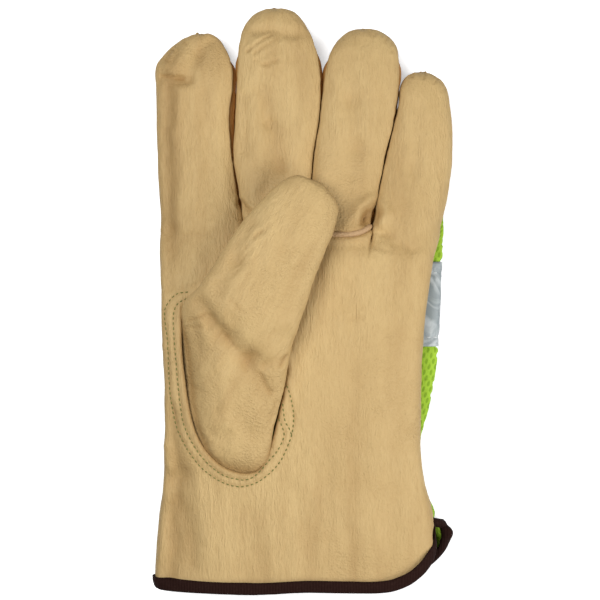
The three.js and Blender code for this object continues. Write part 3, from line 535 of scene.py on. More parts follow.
def seam_level(finger, place, row, share):
    """The height of a seam beside the side strip. The two seams meet where the strip ends."""
    return row.lift + row.high * lerp(SEAM_MEET, share, strip_open(finger, place))


def front_seam(finger, place, row):
    return seam_level(finger, place, row, FRONT_SEAM) + GAP / 2


def back_seam(finger, place, row):
    return seam_level(finger, place, row, BACK_SEAM) - GAP / 2


def sag_down(across):
    """How far the curved seam at the finger bases hangs down."""
    return -BASE_SAG * np.sin(np.pi * across) ** 2


def is_outer(finger, across):
    """Which places across a finger belong to an outer edge of the glove."""
    return (across < 0.5) if finger.outer == "left" else (across >= 0.5) & (finger.outer == "right")


def front_point(finger, place, across):
    """The front of a finger, at a place along it and a share of the way across it."""
    row = section_at(finger.table, place)
    outer = is_outer(finger, across)
    along, up = squared(np.pi * across, np.where(outer, OUTER_ROUND, FINGER_ROUND))
    share = (1 - along) / 2
    edge = np.where(outer, row.lift + row.high * FOLD, front_seam(finger, place, row))
    shift = sag_down(across) * np.maximum(1 - place, 0) if finger.sags else 0
    x = lerp(row.left_x, row.right_x - row.lean, share)
    y = lerp(row.left_y, row.right_y, share) + shift
    return np.stack([x, y, lerp(edge, np.maximum(row.lift + row.high, edge), up)], -1)


def tuck_depth(high):
    """How far in the seam under an outer edge lies."""
    return TUCK * np.minimum(high / KNUCKLE_HEIGHT, 1)


def rolled(edge, seam_x, seam_z):
    """A sheet rolled in from its widest line to the seam under an outer edge."""
    turn = ROLL * np.pi / 2
    x = lerp(edge[..., 0], seam_x, 1 - np.cos(turn))
    z = lerp(edge[..., 2], seam_z, np.sin(turn))
    return np.stack(np.broadcast_arrays(x, edge[..., 1], z), -1)


def tucked(edge, high, seam, tuck):
    """The leather rolled under an outer edge, from its fold to the seam."""
    return rolled(edge, edge[..., 0] + tuck, edge[..., 2] - (FOLD - seam) * high)


def with_roll(grid, roll, left):
    """A grid with a roll added to one of its sides."""
    return np.concatenate([roll[:, ::-1], grid] if left else [grid, roll], 1)


def back_point(finger, place, across):
    """The back of a finger, flat where it lies."""
    row = section_at(finger.table, place)
    inset = tuck_depth(row.high) / 3
    left = row.left_x + (inset if finger.outer == "left" else 0)
    right = row.right_x - (inset if finger.outer == "right" else 0)
    along, up = squared(np.pi * across, BACK_ROUND)
    share = (1 - along) / 2
    outer_edge = row.lift + row.high * BULGE
    edge = np.where(is_outer(finger, across), outer_edge, back_seam(finger, place, row))
    z = lerp(edge, np.minimum(row.lift, edge), np.minimum(up * 1.06, 1))
    x, y, z = np.broadcast_arrays(lerp(left, right, share), lerp(row.left_y, row.right_y, share), z)
    return np.stack([x, y, z], -1)


def pressed(x, y, table, profile):
    """Depth of a table's rows over places on the plan. The profile gives the share of a row's
    depth at a distance from it, which is counted in its width."""
    total = 0 * x
    for *ends, width, depth in zip(*table.values()):
        far, _ = path_distance(x, y, np.reshape(ends, (2, 2)))
        total += depth * profile(far / width)
    return total


def dents(x, y, table):
    """Depth of a table's round folds over places on the plan."""
    return pressed(x, y, table, lambda far: bell(far, 1))


def creased(x, y, table):
    """Depth of a table's sharp creases over places on the plan, with the ridges beside them."""
    return pressed(x, y, table, lambda far: np.exp(-far) - 0.5 * bell(far - 2.4, 1))


def palm_height(x, y):
    """The height of the palm's face over places on the plan."""
    hand = hand_at(y)
    off = np.clip(np.abs(2 * x - hand.left - hand.right) / (hand.right - hand.left), 0, 1)
    fold = hand.high * FOLD
    # Beside the thumb the palm is flat almost to its left edge.
    left = 2 * x < hand.left + hand.right
    beside = smooth(y, -75, -55) * (1 - smooth(y, 0, 22)) * left
    roundness = lerp(lerp(PALM_ROUND, CUFF_ROUND, left * smooth(-y, 70, 90)), HEEL_ROUND, beside)
    crown = (1 - off**roundness) ** (1 / roundness)
    return fold + (hand.high - fold) * crown - dents(x, y, THUMB_REST)


def back_height(x, y):
    """The height of the back's lower face, which rises at its edges and where it gathers."""
    hand = hand_at(y)
    off = np.clip(np.abs(2 * x - hand.left - hand.mesh) / (hand.mesh - hand.left), 0, 1)
    edge = hand.high * BULGE * (1 - np.minimum(1, 1.04 * (1 - off**12) ** 0.4))
    wave = (1 - np.cos(x * 2 * np.pi / GATHER_PITCH)) / 2
    return edge + hand.gather * wave * (1 - off**8)


def resampled(points, shares):
    """Points along a path at shares of its length."""
    points = np.asarray(points, float)
    run = run_along(points)
    return at_run(points, run, shares * run[-1])


def eased(points, per_span=12):
    """A smooth path through points."""
    points = np.asarray(points, float)
    table = {str(axis): values for axis, values in enumerate(points.T)}
    place = np.linspace(0, len(points) - 1, (len(points) - 1) * per_span + 1)
    return np.stack(list(vars(section_at(table, place)).values()), -1)


def steps_for(length, step):
    """How many steps of about one size go into a length."""
    return max(int(round(length / step)), 4)


def places_along(table, step):
    """Places along a finger or the thumb, in rows, a step apart on its sides."""
    place = np.linspace(0, rows_of(table), 40 * rows_of(table))
    row = section_at(table, place)
    sides = ((row.left_x, row.left_y), (row.right_x, row.right_y))
    run = sum(run_along(np.stack(side, -1)) for side in sides) / 2
    return np.interp(np.linspace(0, run[-1], steps_for(run[-1], step) + 1), run, place)


def finger_columns(name, step):
    """Steps across a finger, whose rounded face is a quarter wider than the finger."""
    row = section_at(FINGERS[name].table, 3)
    return steps_for(1.25 * float(row.right_x - row.left_x), step)


def finger_places(name, step):
    """A finger, places along it as a column, and shares of the way across it as a row."""
    finger = FINGERS[name]
    across = np.linspace(0, 1, finger_columns(name, step) + 1)[None, :]
    return finger, places_along(finger.table, step)[:, None], across


def front_grid(name, step):
    """The front of a finger with the roll of its outer edge, from its base to its tip."""
    finger, place, across = finger_places(name, step)
    grid = front_point(finger, place, across)
    if finger.outer == "none":
        return grid
    high = section_at(finger.table, place).high
    left = finger.outer == "left"
    edge = grid[:, :1] if left else grid[:, -1:]
    roll = tucked(edge, high, OUTER_SEAM, tuck_depth(high) * (1 if left else -1))
    return with_roll(grid, roll, left)


def hand_sheet(bases, hem_table, right_edge, height_at, rows):
    """A sheet of the hand from its hem to the finger bases. Its first rows lie in the binding."""
    left_x, right_x = bases[0, 0], bases[-1, 0]
    base_share = (bases[:, 0] - left_x) / (right_x - left_x)
    path = eased(np.stack(list(hem_table.values()), -1))
    cut = resampled(path, base_share)
    ahead, behind = (resampled(path, np.clip(base_share + off, 0, 1)) for off in (0.002, -0.002))
    way = unit(ahead - behind)
    upright = 1 - smooth(np.minimum(base_share, 1 - base_share), 0, 0.035)
    inward = lerp(np.stack([-way[:, 1], way[:, 0]], -1), np.array([0, 1.0]), upright[:, None])
    bound = cut + BINDING_LEG * unit(inward)
    in_binding = [lerp(cut, bound, row / LEG_ROWS) for row in range(LEG_ROWS)]
    rise = np.linspace(0, 1, rows + 1)[:, None]
    y = np.where(
        rise < LEVEL_FROM, lerp(bound[:, 1], LEVEL_BOTTOM, rise / LEVEL_FROM),
        np.where(
            rise < LEVEL_TO,
            lerp(LEVEL_BOTTOM, LEVEL_TOP, (rise - LEVEL_FROM) / (LEVEL_TO - LEVEL_FROM)),
            lerp(LEVEL_TOP, bases[:, 1], (rise - LEVEL_TO) / (1 - LEVEL_TO)),
        ),
    )
    low, here = hand_at(bound[:, 1]), hand_at(y)
    bound_share = (bound[:, 0] - low.left) / (getattr(low, right_edge) - low.left)
    bound_share = lerp(bound_share, base_share, upright)
    share = lerp(bound_share, base_share, smooth(rise, 0, SIDE_REACH))
    x = lerp(here.left, getattr(here, right_edge), share)
    blend = smooth(rise, 1 - WEB_REACH, 1)
    z = lerp(height_at(x, y), bases[:, 2], blend)
    sheet = np.stack([lerp(x, bases[:, 0], blend), y, z], -1)
    lower = [np.column_stack([row, height_at(*row.T)]) for row in in_binding]
    return np.concatenate([lower, sheet]), np.concatenate([np.zeros((LEG_ROWS, 1)), blend])


def palm_grids(step):
    """The palm with the rolls of its two edges, and the finger fronts cut in one piece with it."""
    bases = []
    for name, finger in FINGERS.items():
        count = finger_columns(name, step)
        across = np.arange(1, count) / count if finger.sags else np.arange(count + 1) / count
        base = front_point(finger, np.zeros(1), across)
        base[:, 1] -= (WELT / 2 + GAP) * finger.sags
        bases.append(base)
        if name == "middle":
            # Where the two middle fingers meet, the palm has one point between them.
            ends = [
                front_point(FINGERS[end], np.zeros(1), np.array([at]))
                for end, at in (("middle", 1), ("ring", 0))
            ]
            bases.append((ends[0] + ends[1]) / 2)
    sheet, blend = hand_sheet(
        np.concatenate(bases), LEATHER_HEM, "right", palm_height, steps_for(PALM_LENGTH, step))
    palm = sheet
    for name, inward in (("index", 1), ("pinky", -1)):
        edge = sheet[:, :1] if inward == 1 else sheet[:, -1:]
        hand = hand_at(edge[..., 1])
        high = FINGERS[name].table["high"][0]
        roll = tucked(
            edge, lerp(hand.high, high, blend), lerp(hand.seam, OUTER_SEAM, blend),
            lerp(hand.tuck, tuck_depth(high), blend) * inward)
        palm = with_roll(palm, roll, inward == 1)
    return [palm, front_grid("index", step), front_grid("pinky", step)]


def back_grid(step):
    """The back of the hand with the rolls of its two edges, in even steps across."""
    dense = []
    for finger in FINGERS.values():
        across = np.linspace(0, 1, 60)
        start = KNUCKLE_RISE * across**2 if finger.outer == "right" else np.zeros(60)
        dense.append(back_point(finger, start, across))
    dense = np.concatenate(dense)
    dense = dense[np.argsort(dense[:, 0])]
    count = steps_for(dense[-1, 0] - dense[0, 0], step)
    x = np.linspace(dense[0, 0], dense[-1, 0], count + 1)
    bases = at_run(dense, dense[:, 0], x) - (0, 0.4, 0)
    rows = steps_for(BACK_LENGTH, step)
    sheet, blend = hand_sheet(bases, MESH_HEM, "mesh", back_height, rows)
    grid = sheet
    for name, left in (("index", True), ("pinky", False)):
        edge = sheet[:, :1] if left else sheet[:, -1:]
        hand = hand_at(edge[..., 1])
        high = lerp(hand.high, FINGERS[name].table["high"][0], blend)
        seam_x = hand.left + hand.tuck if left else hand.right - hand.tuck
        # Under the hand the seam's two edges part a little; towards the cuff they meet.
        parted = GAP * lerp(-1.3, 3, smooth(edge[..., 1], -88, -72))
        roll = rolled(edge, seam_x, high * lerp(hand.seam, OUTER_SEAM, blend) - parted)
        if not left:
            for row in range(LEG_ROWS + 1):
                level = VENT_Y + BINDING_LEG * row / LEG_ROWS
                roll[row, :, 1] = lerp(roll[row, :, 1], level, ROLL[0])
        grid = with_roll(grid, roll, left)
    grid = grid[:, ::-1]
    grid[..., 0] += MESH_SWELL * bell(grid[..., 1] - MESH_SWELL_Y, 8) * smooth(grid[..., 0], 44, 57)
    return grid


def finger_back_grid(name, step):
    """The back of a finger with the roll of its outer edge, from its base to its tip."""
    finger, place, across = finger_places(name, step)
    start = KNUCKLE_RISE * across**2 if finger.outer == "right" else 0 * across
    last = rows_of(finger.table)
    place = lerp(start, last, place / last)
    grid = back_point(finger, place, across)
    # Towards the tip the back is set into the front, so that the seam is closed.
    inside = smooth(place, last - 2.2, last - 0.8)
    grid[..., 0] = lerp(grid[..., 0], grid[..., 0].mean(1, keepdims=True), 0.05 * inside)
    grid[..., 1] -= 0.9 * smooth(place, last - 1.6, last - 0.4)
    grid[..., 2] += 0.6 * inside
    if finger.outer == "none":
        return grid[:, ::-1]
    left = finger.outer == "left"
    place, edge, inside = (
        values[:, :1] if left else values[:, -1:] for values in (place, grid, inside))
    row = section_at(finger.table, place)
    seam_x = row.left_x + tuck_depth(row.high) if left else row.right_x - tuck_depth(row.high)
    seam_z = row.lift + row.high * OUTER_SEAM - GAP * np.minimum(row.high / 5, 1) + 1.1 * inside
    return with_roll(grid, rolled(edge, seam_x, seam_z), left)[:, ::-1]


def side_at(finger, level, side):
    """Where a side of a finger runs at a height on the plan."""
    place = np.linspace(0, rows_of(finger.table), 200)
    row = section_at(finger.table, place)
    return np.interp(level, getattr(row, side + "_y"), getattr(row, side + "_x"))


def strip_grid(left, right, step):
    """A side strip from the tip of one finger down to the web and up to the tip of the next."""
    sides = []
    share = np.linspace(0, 1, 9)[None, :]
    for finger, on_left in ((FINGERS[left], True), (FINGERS[right], False)):
        last = rows_of(finger.table)
        place = places_along(finger.table, step)
        place = place[place <= last - 1.25][:, None]
        row = section_at(finger.table, place)
        web = np.maximum(1 - 2 * place, 0)
        top = front_seam(finger, place, row) - LEATHER * web
        bottom = back_seam(finger, place, row) + MESH * web
        at_tip = smooth(place, last - 3.4, last - 2.4)
        y = row.right_y if on_left else row.left_y
        apart = side_at(FINGERS[right], y, "left") - side_at(FINGERS[left], y, "right")
        bulge = np.clip(apart / 2 - 0.03, 0.05, 1.2)
        turn = np.pi * np.minimum(1.3 * share, 1)
        sway = 0.3 * np.sin(2 * turn) * (1 if on_left else -1)
        inset = 0.9 * at_tip - (bulge * np.sin(turn) + sway) * (1 - at_tip)
        x = row.right_x - row.lean * (1 - share) ** 4 - inset if on_left else row.left_x + inset
        side = np.stack(np.broadcast_arrays(x, y + 0 * share, lerp(top, bottom, share)), -1)
        sides.append(side[::-1] if on_left else side)
    return np.concatenate(sides)[:, ::-1]


def thumb_grid(step):
    """The whole skin of the thumb, in rings from its base to its tip."""
    place = places_along(THUMB, step)[:, None]
    count = steps_for(THUMB_GIRTH, step)
    angle = -2 * np.pi * np.arange(count + 1)[None, :] / count
    row = section_at(THUMB, place)
    low_left = (1 - smooth(place, 5.5, 8)) * smooth(-np.cos(angle), -0.2, 0.5) * (np.sin(angle) > 0)
    roundness = lerp(THUMB_ROUND, THUMB_LEFT_ROUND, low_left)
    along = squared(angle, roundness)[0]
    up = squared(angle - np.pi / 2, roundness)[0]
    share = (1 + along) / 2
    z = (row.low + row.high) / 2 + up * (row.high - row.low) / 2 + row.skew * along
    z = z - row.drop * smooth(-along, 0.6, 1)
    x, y = lerp(row.left_x, row.right_x, share), lerp(row.left_y, row.right_y, share)
    return np.stack([x, y, z], -1)


def welt_path():
    """The curved seam at the base of the two middle fingers."""
    points = []
    for name in ("middle", "ring"):
        across = np.linspace(0.02, 0.98, 24)
        point = front_point(FINGERS[name], np.zeros(1), across)
        point[:, 1] = BASE_Y + sag_down(across) - 0.2
        points.append(point)
    return np.concatenate(points)


def cord_grid(path, wide, high, sides=16):
    """A flattened cord along a path, with rounded ends: one ring of points round it per place."""
    path = resampled(path, np.linspace(0, 1, 90))
    way = unit(np.gradient(path, axis=0))
    side = unit(np.cross(way, [0, 0, 1.0]))
    up = np.cross(side, way)
    end = np.linspace(0, 1, 6)
    taper = np.ones(len(path))
    taper[:6], taper[-6:] = np.sqrt(1 - (1 - end) ** 2), np.sqrt(1 - end**2)
    angle = (2 * np.pi * np.arange(sides + 1) / sides)[None, :, None]
    around = np.cos(angle) * wide * side[:, None] + np.sin(angle) * high * up[:, None]
    return path[:, None] + around * taper[:, None, None]


def ripple(points, size, seed):
    """Smooth random heights between -1 and 1 that change over a size along X, Y and Z."""
    lattice = np.random.default_rng(seed).uniform(-1, 1, (64, 64, 16))
    place = points / np.asarray(size, float) + 1000.0
    cell = np.floor(place).astype(int)
    share = smooth(place - cell)
    total = 0
    for corner in np.ndindex(2, 2, 2):
        index = (cell + corner) % lattice.shape
        weight = np.prod(np.where(np.array(corner) == 1, share, 1 - share), axis=1)
        total = total + weight * lattice[index[:, 0], index[:, 1], index[:, 2]]
    return total


def staggered(column, row):
    """Depth between 0 and 1 of staggered oval dimples, at places counted in dimple pitches."""
    total = np.zeros(np.broadcast(column, row).shape)
    for shift in (0, 0.5):
        across, along = (column + shift) % 1 - 0.5, (row + shift) % 1 - 0.5
        far = np.hypot(across / DIMPLE_SIZE[0], along / DIMPLE_SIZE[1])
        total = np.maximum(total, 1 - smooth(far, 0.45, 1.15))
    return total


def path_distance(x, y, path):
    """Distance on the plan to a path, and how far along it the nearest place is."""
    best = np.full(x.shape, 1e9)
    run = np.zeros(x.shape)
    start_at = 0.0
    for start, end in zip(path[:-1], path[1:]):
        way = end - start
        length = math.hypot(*way)
        share = np.clip(((x - start[0]) * way[0] + (y - start[1]) * way[1]) / length**2, 0, 1)
        far = np.hypot(x - start[0] - share * way[0], y - start[1] - share * way[1])
        run = np.where(far < best, start_at + share * length, run)
        best = np.minimum(best, far)
        start_at += length
    return best, run


def only(*pieces):
    """Selects these pieces alone and makes the first of them active."""
    bpy.ops.object.select_all(action="DESELECT")
    for piece in pieces:
        piece.select_set(True)
    bpy.context.view_layer.objects.active = pieces[0]


def joined(pieces, name):
    """One piece made of several."""
    only(*pieces)
    if len(pieces) > 1:
        bpy.ops.object.join()
    pieces[0].name = name
    return pieces[0]


def read(items, name, width=1, kind=int):
    """A value of each point, edge or corner of a mesh, as an array."""
    flat = np.zeros(len(items) * width, kind)
    items.foreach_get(name, flat)
    return flat.reshape(-1, width) if width > 1 else flat


def coordinates(piece):
    return read(piece.data.vertices, "co", 3, float) / MM


def directions(piece):
    return read(piece.data.vertices, "normal", 3, float)


def place_points(piece, points):
    """Moves a piece's points to places in millimetres."""
    piece.data.vertices.foreach_set("co", (np.asarray(points) * MM).ravel())
    piece.data.update()


def sheet_from(name, grids):
    """One piece from grid primitives laid out to grids of points, joined where they touch."""
    made = []
    for grid in grids:
        rows, across = grid.shape[0] - 1, grid.shape[1] - 1
        bpy.ops.mesh.primitive_grid_add(x_subdivisions=across, y_subdivisions=rows, size=1)
        place_points(bpy.context.object, grid.reshape(-1, 3))
        made.append(bpy.context.object)
    piece = joined(made, name)
    edit(piece, lambda: bpy.ops.mesh.remove_doubles(threshold=0.02 * MM))
    return piece


def edit(piece, step, chosen=None):
    """Runs a step in edit mode on the chosen points, or on all of them."""
    only(piece)
    bpy.ops.object.mode_set(mode="EDIT")
    bpy.ops.mesh.select_all(action="SELECT" if chosen is None else "DESELECT")
    if chosen is not None:
        bpy.ops.object.mode_set(mode="OBJECT")
        piece.data.vertices.foreach_set("select", chosen)
        bpy.ops.object.mode_set(mode="EDIT")
    step()
    bpy.ops.object.mode_set(mode="OBJECT")


def within(x, y, path):
    """Which places on the plan lie inside a closed path."""
    inside = np.zeros(x.shape, bool)
    for start, end in zip(path[:-1], path[1:]):
        if start[1] != end[1]:
            share = (y - start[1]) / (end[1] - start[1])
            inside ^= ((start[1] > y) != (end[1] > y)) & (x < lerp(start[0], end[0], share))
    return inside


def nearest_on(x, y, path):
    """The nearest places on a path."""
    return at_run(path, run_along(path), path_distance(x, y, path)[1])


def remove_faces(piece, is_hidden):
    """Removes the faces whose centres are hidden."""
    none = np.zeros(len(piece.data.vertices), bool)
    edit(piece, lambda: bpy.ops.mesh.select_mode(type="FACE"), none)
    centres = np.array([face.center for face in piece.data.polygons]) / MM
    piece.data.polygons.foreach_set("select", is_hidden(*centres.T))
    bpy.ops.object.mode_set(mode="EDIT")
    bpy.ops.mesh.delete(type="FACE")
    bpy.ops.mesh.select_mode(type="VERT")
    bpy.ops.object.mode_set(mode="OBJECT")


def open_points(piece):
    """The points on open edges."""
    used = np.bincount(read(piece.data.loops, "edge_index"), minlength=len(piece.data.edges))
    return np.unique(read(piece.data.edges, "vertices", 2)[used == 1])


def tree_of(points):
    """The points, ordered so that the nearest one to a place is found quickly."""
    tree = KDTree(len(points))
    for index, point in enumerate(points):
        tree.insert(point, index)
    tree.balance()
    return tree


def nearest_points(points, places):
    """For each place, the number of the nearest of the points."""
    tree = tree_of(points)
    return np.array([tree.find(place)[1] for place in places])


def rim_distance(piece, points):
    """How far each point lies from the nearest open edge of the piece."""
    tree = tree_of(points[open_points(piece)])
    return np.array([tree.find(point)[2] for point in points])


def remember(piece, name, values):
    """Keeps a value for each point, for the material to read."""
    attribute = piece.data.attributes.new(name, "FLOAT", "POINT")
    attribute.data.foreach_set("value", np.asarray(values, np.float32))


def apply_modifier(piece, kind, **settings):
    """Adds a modifier with its settings and applies it."""
    only(piece)
    modifier = piece.modifiers.new(kind.title(), kind)
    for name, value in settings.items():
        setattr(modifier, name, value)
    bpy.ops.object.modifier_apply(modifier=modifier.name)


def walled(piece, wall):
    """Gives a sheet its thickness inward, in directions evened from point to point, because the
    points crowd together at a tip and at a cut edge."""
    points, inward = coordinates(piece), -directions(piece)
    starts, stops = read(piece.data.edges, "vertices", 2).T
    for _ in range(4):
        total = inward.copy()
        np.add.at(total, starts, inward[stops])
        np.add.at(total, stops, inward[starts])
        inward = total / np.maximum(np.linalg.norm(total, axis=1), 1e-9)[:, None]
    apply_modifier(piece, "SOLIDIFY", thickness=wall * MM, offset=-1, use_even_offset=False)
    placed = coordinates(piece)
    placed[len(points):] = points + wall * inward
    place_points(piece, placed)


def finish_piece(piece, material, slot, *nodes):
    """Gives a piece its material and its body, and hides the nodes that it replaces. The slot is
    not used.
    """
    only(piece)
    bpy.ops.object.shade_smooth()
    piece.data.materials.clear()
    piece.data.materials.append(material)
    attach(piece, "root")
    if nodes:
        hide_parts(*nodes)


def wandering(points, seed):
    """Places on the plan, shifted a little so that a straight fold wanders."""
    return [
        points[:, axis] + 1.1 * ripple(points, (7, 7, 9), seed + step)
        + 0.4 * ripple(points, (2.4, 2.4, 4), seed + step + 1)
        for axis, step in enumerate((200, 300))
    ]


def leather_relief(piece, folds, sharp, sizes, seed, extra=None):
    """Presses a leather sheet in along its folds and seams and lets it undulate softly, and paints
    shade into its folds, creases and seams. Extra gives more height and painted shade for each
    point."""
    points, normals = coordinates(piece), directions(piece)
    seam = rim_distance(piece, points)
    facing = np.maximum(normals[:, 2], 0.3) * (normals[:, 2] > 0)
    x, y = wandering(points, seed)
    fold = dents(x, y, folds) * facing * smooth(seam, 0, 4)
    sharply = creased(x, y, sharp) * facing * smooth(seam, 0, 1.5)
    height = sizes.wrinkle_height / MM
    soft = ripple(points, (9, 18, 12), seed) + 0.7 * ripple(points, (3.4, 9, 6), seed + 1)
    fine = ripple(points, (1.6, 4.5, 3), seed + 3)
    pucker = ripple(points, (2.4, 2.4, 5), seed + 2) * bell(seam, 3)
    depth = height * (0.6 * soft * smooth(seam, 0, 3) + 0.12 * fine + 0.4 * pucker)
    # Beside a seam the leather stands up a little, and at the seam itself it is drawn in.
    depth += 0.35 * bell(seam - 1.8, 1.4) - 0.25 * bell(seam, 0.8)
    depth -= fold + sharply
    # Painted shade: the leather is darkened in its folds and creases and beside its seams.
    deep = np.clip(fold / 2.2, 0, 1) * 0.45 + 0.3 * np.clip(sharply, 0, 0.8)
    deep += 0.9 * np.clip(sharply / 2, 0, 1) + 0.6 * bell(seam, 1.8)
    # Painted shade along the lines of its table.
    deep += dents(x, y, PAINTED_SHADE) * facing
    if extra is not None:
        # Extra's second value is painted shade.
        more, tone = extra(points)
        depth += more
        deep += tone
    # The tips have no relief, because the rows of points meet there.
    for finger in FINGERS.values():
        tip = finger.table["left_x"][-1], finger.table["left_y"][-1]
        depth = lerp(-0.2, depth, smooth(np.linalg.norm(points[:, :2] - tip, axis=1), 0, 3.5))
    place_points(piece, points + normals * depth[:, None])
    remember(piece, "deep", np.clip(deep, 0, 1))
    return points


def hem_stations(side, grid, wall, narrow, squeezed):
    """The binding's outline round a cut edge at each column: points from leg to leg, over the edge.
    Where narrow is 1, the legs are short, and a squeezed binding is thin there too."""
    cut, bound = (nearest_points(side.plain, grid[row]) for row in (0, LEG_ROWS))
    near, far = side.points[cut], side.points[bound]
    short = narrow(near)[:, None]
    slim = short * squeezed
    far = lerp(far, near, lerp(0.55, 0.85, squeezed) * short)
    up_near, up_far = side.normals[cut], side.normals[bound]
    outward = unit(near - far)
    off = lerp(BINDING_GAP + BINDING, BINDING_SLIM, slim)
    half, up_half = (far + near) / 2, (up_far + up_near) / 2
    stations = [far + up_far * off, half + up_half * (off + 0.25 * (1 - slim))]
    for angle in np.linspace(0, np.pi, 9):
        rise = math.cos(angle) * (wall / 2 + off) - wall / 2
        stations.append(near + up_near * rise + outward * math.sin(angle) * np.maximum(off, 0.9))
    inner = -wall - off
    stations += [half + up_half * (inner - 0.1), far + up_far * inner]
    return np.array(stations).transpose(1, 0, 2)


def evened_ring(stations, step, spread):
    """The stations of a closed ring at even steps, each line of points along it smoothed."""
    closed = np.concatenate([stations, stations[:1]])
    run = run_along(closed[:, closed.shape[1] // 2])
    places = np.linspace(0, run[-1], steps_for(run[-1], step), endpoint=False)
    even = at_run(closed.reshape(len(closed), -1), run, places)
    for _ in range(spread):
        even = (np.roll(even, 1, 0) + 2 * even + np.roll(even, -1, 0)) / 4
    return even.reshape(-1, *stations.shape[1:])


def on_surface(path, piece, down=True, lift=0.12):
    """A path on the plan laid on a piece, from above or from below."""
    laid_path = []
    high = 0.1 if down else -0.1
    for x, y in path:
        hit, spot, normal, _ = piece.ray_cast(Vector((x * MM, y * MM, high)), Vector((0, 0, -high)))
        if hit:
            laid_path.append(np.array(spot) / MM + np.array(normal) * lift)
    return np.array(laid_path)


def along_path(points, path, start, stretch):
    """Points along X laid along a path. Their Y lies across it and their Z stands up from it."""
    run = run_along(path)
    length = (points[:, 0] + start) * stretch
    before, here, after = (at_run(path, run, length + off) for off in (-0.4, 0, 0.4))
    way = unit(after - before)
    side = unit(np.cross([0, 0, 1.0], way))
    return here + points[:, 1:2] * side + points[:, 2:] * np.cross(way, side)


def stitched(name, rows, sizes, material, slot, fill=0.66):
    """Rows of stitches: one capsule, repeated along X and then laid along each row. A stitch
    fills this share of the pitch."""
    pitch = sizes.stitch_pitch / MM
    radius = sizes.thread_width / MM / 2
    made = []
    for path in rows:
        length = run_along(path)[-1]
        count = max(int(length / pitch), 1)
        bpy.ops.mesh.primitive_uv_sphere_add(
            segments=6, ring_count=6, radius=1, rotation=(0, math.pi / 2, 0))
        stitch = bpy.context.object
        bpy.ops.object.transform_apply(location=False, rotation=True, scale=False)
        shape = coordinates(stitch) * MM
        # The ball's round ends become the blunter ones of a thread.
        shape[:, 1:] *= radius * np.sqrt(1 + shape[:, :1] ** 2)
        shape[:, 2] -= 1.1 * radius * shape[:, 0] ** 2
        shape[:, 0] *= pitch * fill / 2
        place_points(stitch, shape)
        apply_modifier(
            stitch, "ARRAY", count=count, use_relative_offset=False, use_constant_offset=True,
            constant_offset_displace=(pitch * MM, 0, 0))
        points, stretch = coordinates(stitch), length / (count * pitch)
        place_points(stitch, along_path(points, path, pitch / 2, stretch))
        made.append(stitch)
    piece = joined(made, name)
    edit(piece, lambda: bpy.ops.mesh.normals_make_consistent(inside=False))
    finish_piece(piece, material, slot)


def linear(colour):
    """The linear value of an sRGB hex colour."""
    parts = [int(colour[at:at + 2], 16) / 255 for at in (1, 3, 5)]
    lit = [part / 12.92 if part <= 0.04045 else ((part + 0.055) / 1.055) ** 2.4 for part in parts]
    return *lit, 1


def add_node(tree, kind, inputs=None, **settings):
    """Adds a node with its settings, its values and its links. A node given as an input stands
    for its first output."""
    node = tree.nodes.new("ShaderNode" + kind)
    for name, value in settings.items():
        setattr(node, name, value)
    for socket, value in (inputs or {}).items():
        if isinstance(value, bpy.types.Node):
            value = next(output for output in value.outputs if output.enabled)
        if isinstance(value, bpy.types.NodeSocket):
            tree.links.new(value, node.inputs[socket])
        else:
            node.inputs[socket].default_value = value
    return node


def new_material(name):
    material = bpy.data.materials.new(name)
    material.use_nodes = True
    material.node_tree.nodes.clear()
    return material, material.node_tree


def layered(tree, colour, *layers):
    """A colour with layers of tone over it. A layer grows to its share of strength as its value
    goes from low to high."""
    for value, low, high, share, tone in layers:
        amount = add_node(tree, "MapRange", {0: value, 1: low, 2: high, 4: share})
        colour = add_node(tree, "Mix", {0: amount, 6: colour, 7: tone}, data_type="RGBA")
    return colour


